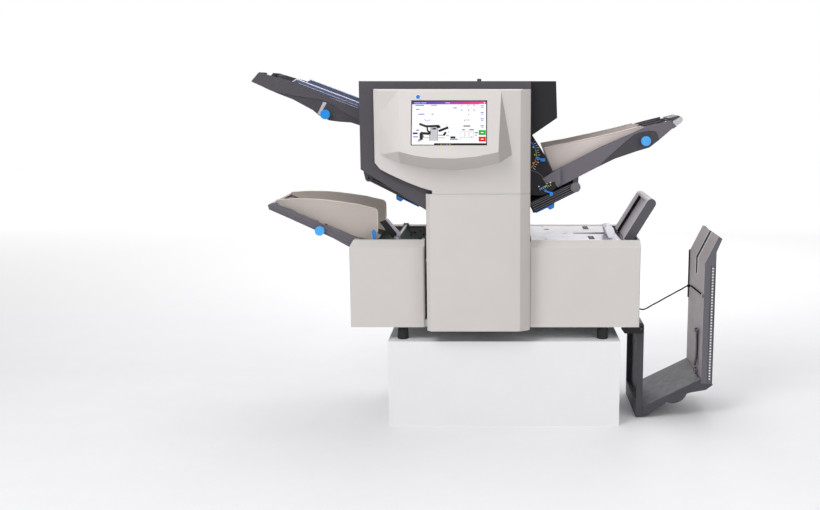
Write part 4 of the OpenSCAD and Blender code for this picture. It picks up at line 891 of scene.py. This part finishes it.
# guide track up the inner face and the leaning top: a dark band of painted shade for the groove, between two pale
# edges of painted highlight
TRACK = [(677.3, 171), (677.3, 221.2), (717.2, 303.0), (718.0, 302.6), (678.2, 221), (678.2, 171)]
track = Shape()
for low, high, shade_of in ((-17, -11, 1), (-11, 15, 0), (15, 22, 1)):
    track.prism(TRACK, low, high, shade_of)
track.done("rail_track", "stacker", "stacker_grey", [seam_and_painted_shadow, pale])
# panel edge at the rear of the inner face
Shape().box(674.6, 68, 678.2, 225, -125, -118.5).done("rail_inner_strip", "stacker", "stacker_grey", [black], 0.4)
Shape().prism([(722, 303.5), (729.2, 297.5), (727.6, 294.6), (719.5, 300.2)], -120, -104).done(
    "rail_top_nib", "stacker", "stacker_grey", [black], 0.5)

# clip that holds the cable at the rear edge of the inner face
clip_along = Vector((0.38, 0.92, -0.1)).normalized()
clip_plane = Plane((671, 88, 112), clip_along.cross(Z_AXIS).normalized(), Z_AXIS)
Shape(clip_plane).ring((0, 0), 5.4, 2.4, -3.0, 3.0, 0, 20).done("cable_clip", "stacker", "cable", [black], 0.4)

# tapered strain relief where the cable leaves the right module
relief = Shape(Plane((0, 145, 52), Y_AXIS, Z_AXIS))
# its profile: a place along X and a radius
RELIEF = [(477.2, 7.0), (480.4, 7.0), (480.6, 4.9), (482.4, 4.9), (482.6, 4.2), (484.4, 4.2), (484.6, 3.6),
          (486.6, 3.4), (487.2, 2.6)]
loops = [relief.loop(circle((0, 0), r, 24), x) for x, r in RELIEF]
for first, second in zip(loops, loops[1:]):
    relief.walls(first, second, 0)
relief.mesh.faces.new(loops[0])
relief.mesh.faces.new(loops[-1])
gland = relief.done("cable_relief", "machine", "black_cover", [jacket], 0.0)
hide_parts("cable_gland")

# ---------- fixings ----------

COLUMN_SCREWS = [(x, z) for x in (-120, 120) for z in (70, 230, 420)]
HEAD_SCREWS = [(x, z) for x in (-310, 128) for z in (540, 700)]
COVER_SCREWS = [(x, z) for x in (-365, -178, 170, 460) for z in (58, 275)]
heads = Shape(REAR)
for x, z in COLUMN_SCREWS + HEAD_SCREWS:
    heads.dome((-x, z), 4.2, 199.6, 202.0)
for x, z in COVER_SCREWS:
    heads.dome((-x, z), 4.0, 184.6, 187.0)
heads.done("rear_screws", "machine", "cover", [zinc])
# dark hexagons on the column screws: the shade in their sockets, painted
recess = Shape(REAR)
for x, z in COLUMN_SCREWS:
    recess.disc((-x, z), 1.8, 201.0, 202.1, 0, 6)
recess.done("rear_screw_sockets", "machine", "cover", [seam_and_painted_shadow])

# ---------- floor, light and background ----------

FLOOR_GAP = 0.0006
FLOOR_Z = cad_box[0].z - FLOOR_GAP
floor_paint = surface("floor_paint", srgb(238, 238, 240), 0.6, grain=60, depth=0.05, blotch=0.01)

# the floor fades into the white background with distance
paint_tree = floor_paint.node_tree
floor_coords = paint_tree.nodes.new("ShaderNodeTexCoord")
floor_split = paint_tree.nodes.new("ShaderNodeSeparateXYZ")
floor_fade = paint_tree.nodes.new("ShaderNodeMapRange")
for socket, value in (("From Min", 0.4), ("From Max", 4.5), ("To Min", 0.0), ("To Max", 0.55)):
    floor_fade.inputs[socket].default_value = value
paint_tree.links.new(floor_coords.outputs["Object"], floor_split.inputs["Vector"])
paint_tree.links.new(floor_split.outputs["Y"], floor_fade.inputs["Value"])
floor_shader = paint_tree.nodes["Principled BSDF"]
floor_shader.inputs["Emission Color"].default_value = (1, 1, 1, 1)
paint_tree.links.new(floor_fade.outputs["Result"], floor_shader.inputs["Emission Strength"])


def stage_box(name, low, high):
    """A block to stand on, which is no part of the machine."""
    mesh = bmesh.new()
    bmesh.ops.create_cube(mesh, size=1.0)
    for vert in mesh.verts:
        vert.co = [low[i] if vert.co[i] < 0 else high[i] for i in range(3)]
    data = bpy.data.meshes.new(name)
    mesh.to_mesh(data)
    mesh.free()
    data.materials.append(floor_paint)
    block = bpy.data.objects.new(name, data)
    bpy.context.scene.collection.objects.link(block)


stage_box("floor", (-9, -4, FLOOR_Z - 0.02), (9, 9, FLOOR_Z))
# the stacker hangs below the feet, so the feet stand on a plain step
stage_box("step", (-0.27, -0.20, FLOOR_Z), (0.42, 0.20, 0.0))

# white where the camera sees it, and dimmer as a light
WORLD_LIGHT = 0.52
world = bpy.data.worlds.new("studio")
world.use_nodes = True
tree = world.node_tree
background = tree.nodes["Background"]
background.inputs["Color"].default_value = (1, 1, 1, 1)
seen = tree.nodes.new("ShaderNodeBackground")
seen.inputs["Color"].default_value = (1, 1, 1, 1)
seen.inputs["Strength"].default_value = 1.0
background.inputs["Strength"].default_value = WORLD_LIGHT
path = tree.nodes.new("ShaderNodeLightPath")
mixed = tree.nodes.new("ShaderNodeMixShader")
tree.links.new(path.outputs["Is Camera Ray"], mixed.inputs["Fac"])
tree.links.new(background.outputs["Background"], mixed.inputs[1])
tree.links.new(seen.outputs["Background"], mixed.inputs[2])
tree.links.new(mixed.outputs["Shader"], tree.nodes["World Output"].inputs["Surface"])
bpy.context.scene.world = world


def area_light(name, place, aim, size, power):
    """A round lamp that faces its aim. Power is in watts."""
    light = bpy.data.lights.new(name, "AREA")
    light.shape = "DISK"
    light.size, light.energy = size, power
    lamp = bpy.data.objects.new(name, light)
    lamp.location = place
    lamp.rotation_euler = (Vector(aim) - Vector(place)).to_track_quat("-Z", "Y").to_euler()
    bpy.context.scene.collection.objects.link(lamp)


area_light("key", (-1.6, -2.4, 3.0), (0, 0, 0.4), 1.8, 60)
area_light("fill", (2.2, -3.0, 1.6), (0, 0, 0.4), 2.2, 22)
area_light("top", (0.3, 0.6, 3.2), (0, 0, 0.5), 2.5, 34)
area_light("back", (0.5, 3.0, 1.8), (0, 0, 0.5), 2.4, 26)
bpy.context.scene.view_settings.view_transform = "Standard"
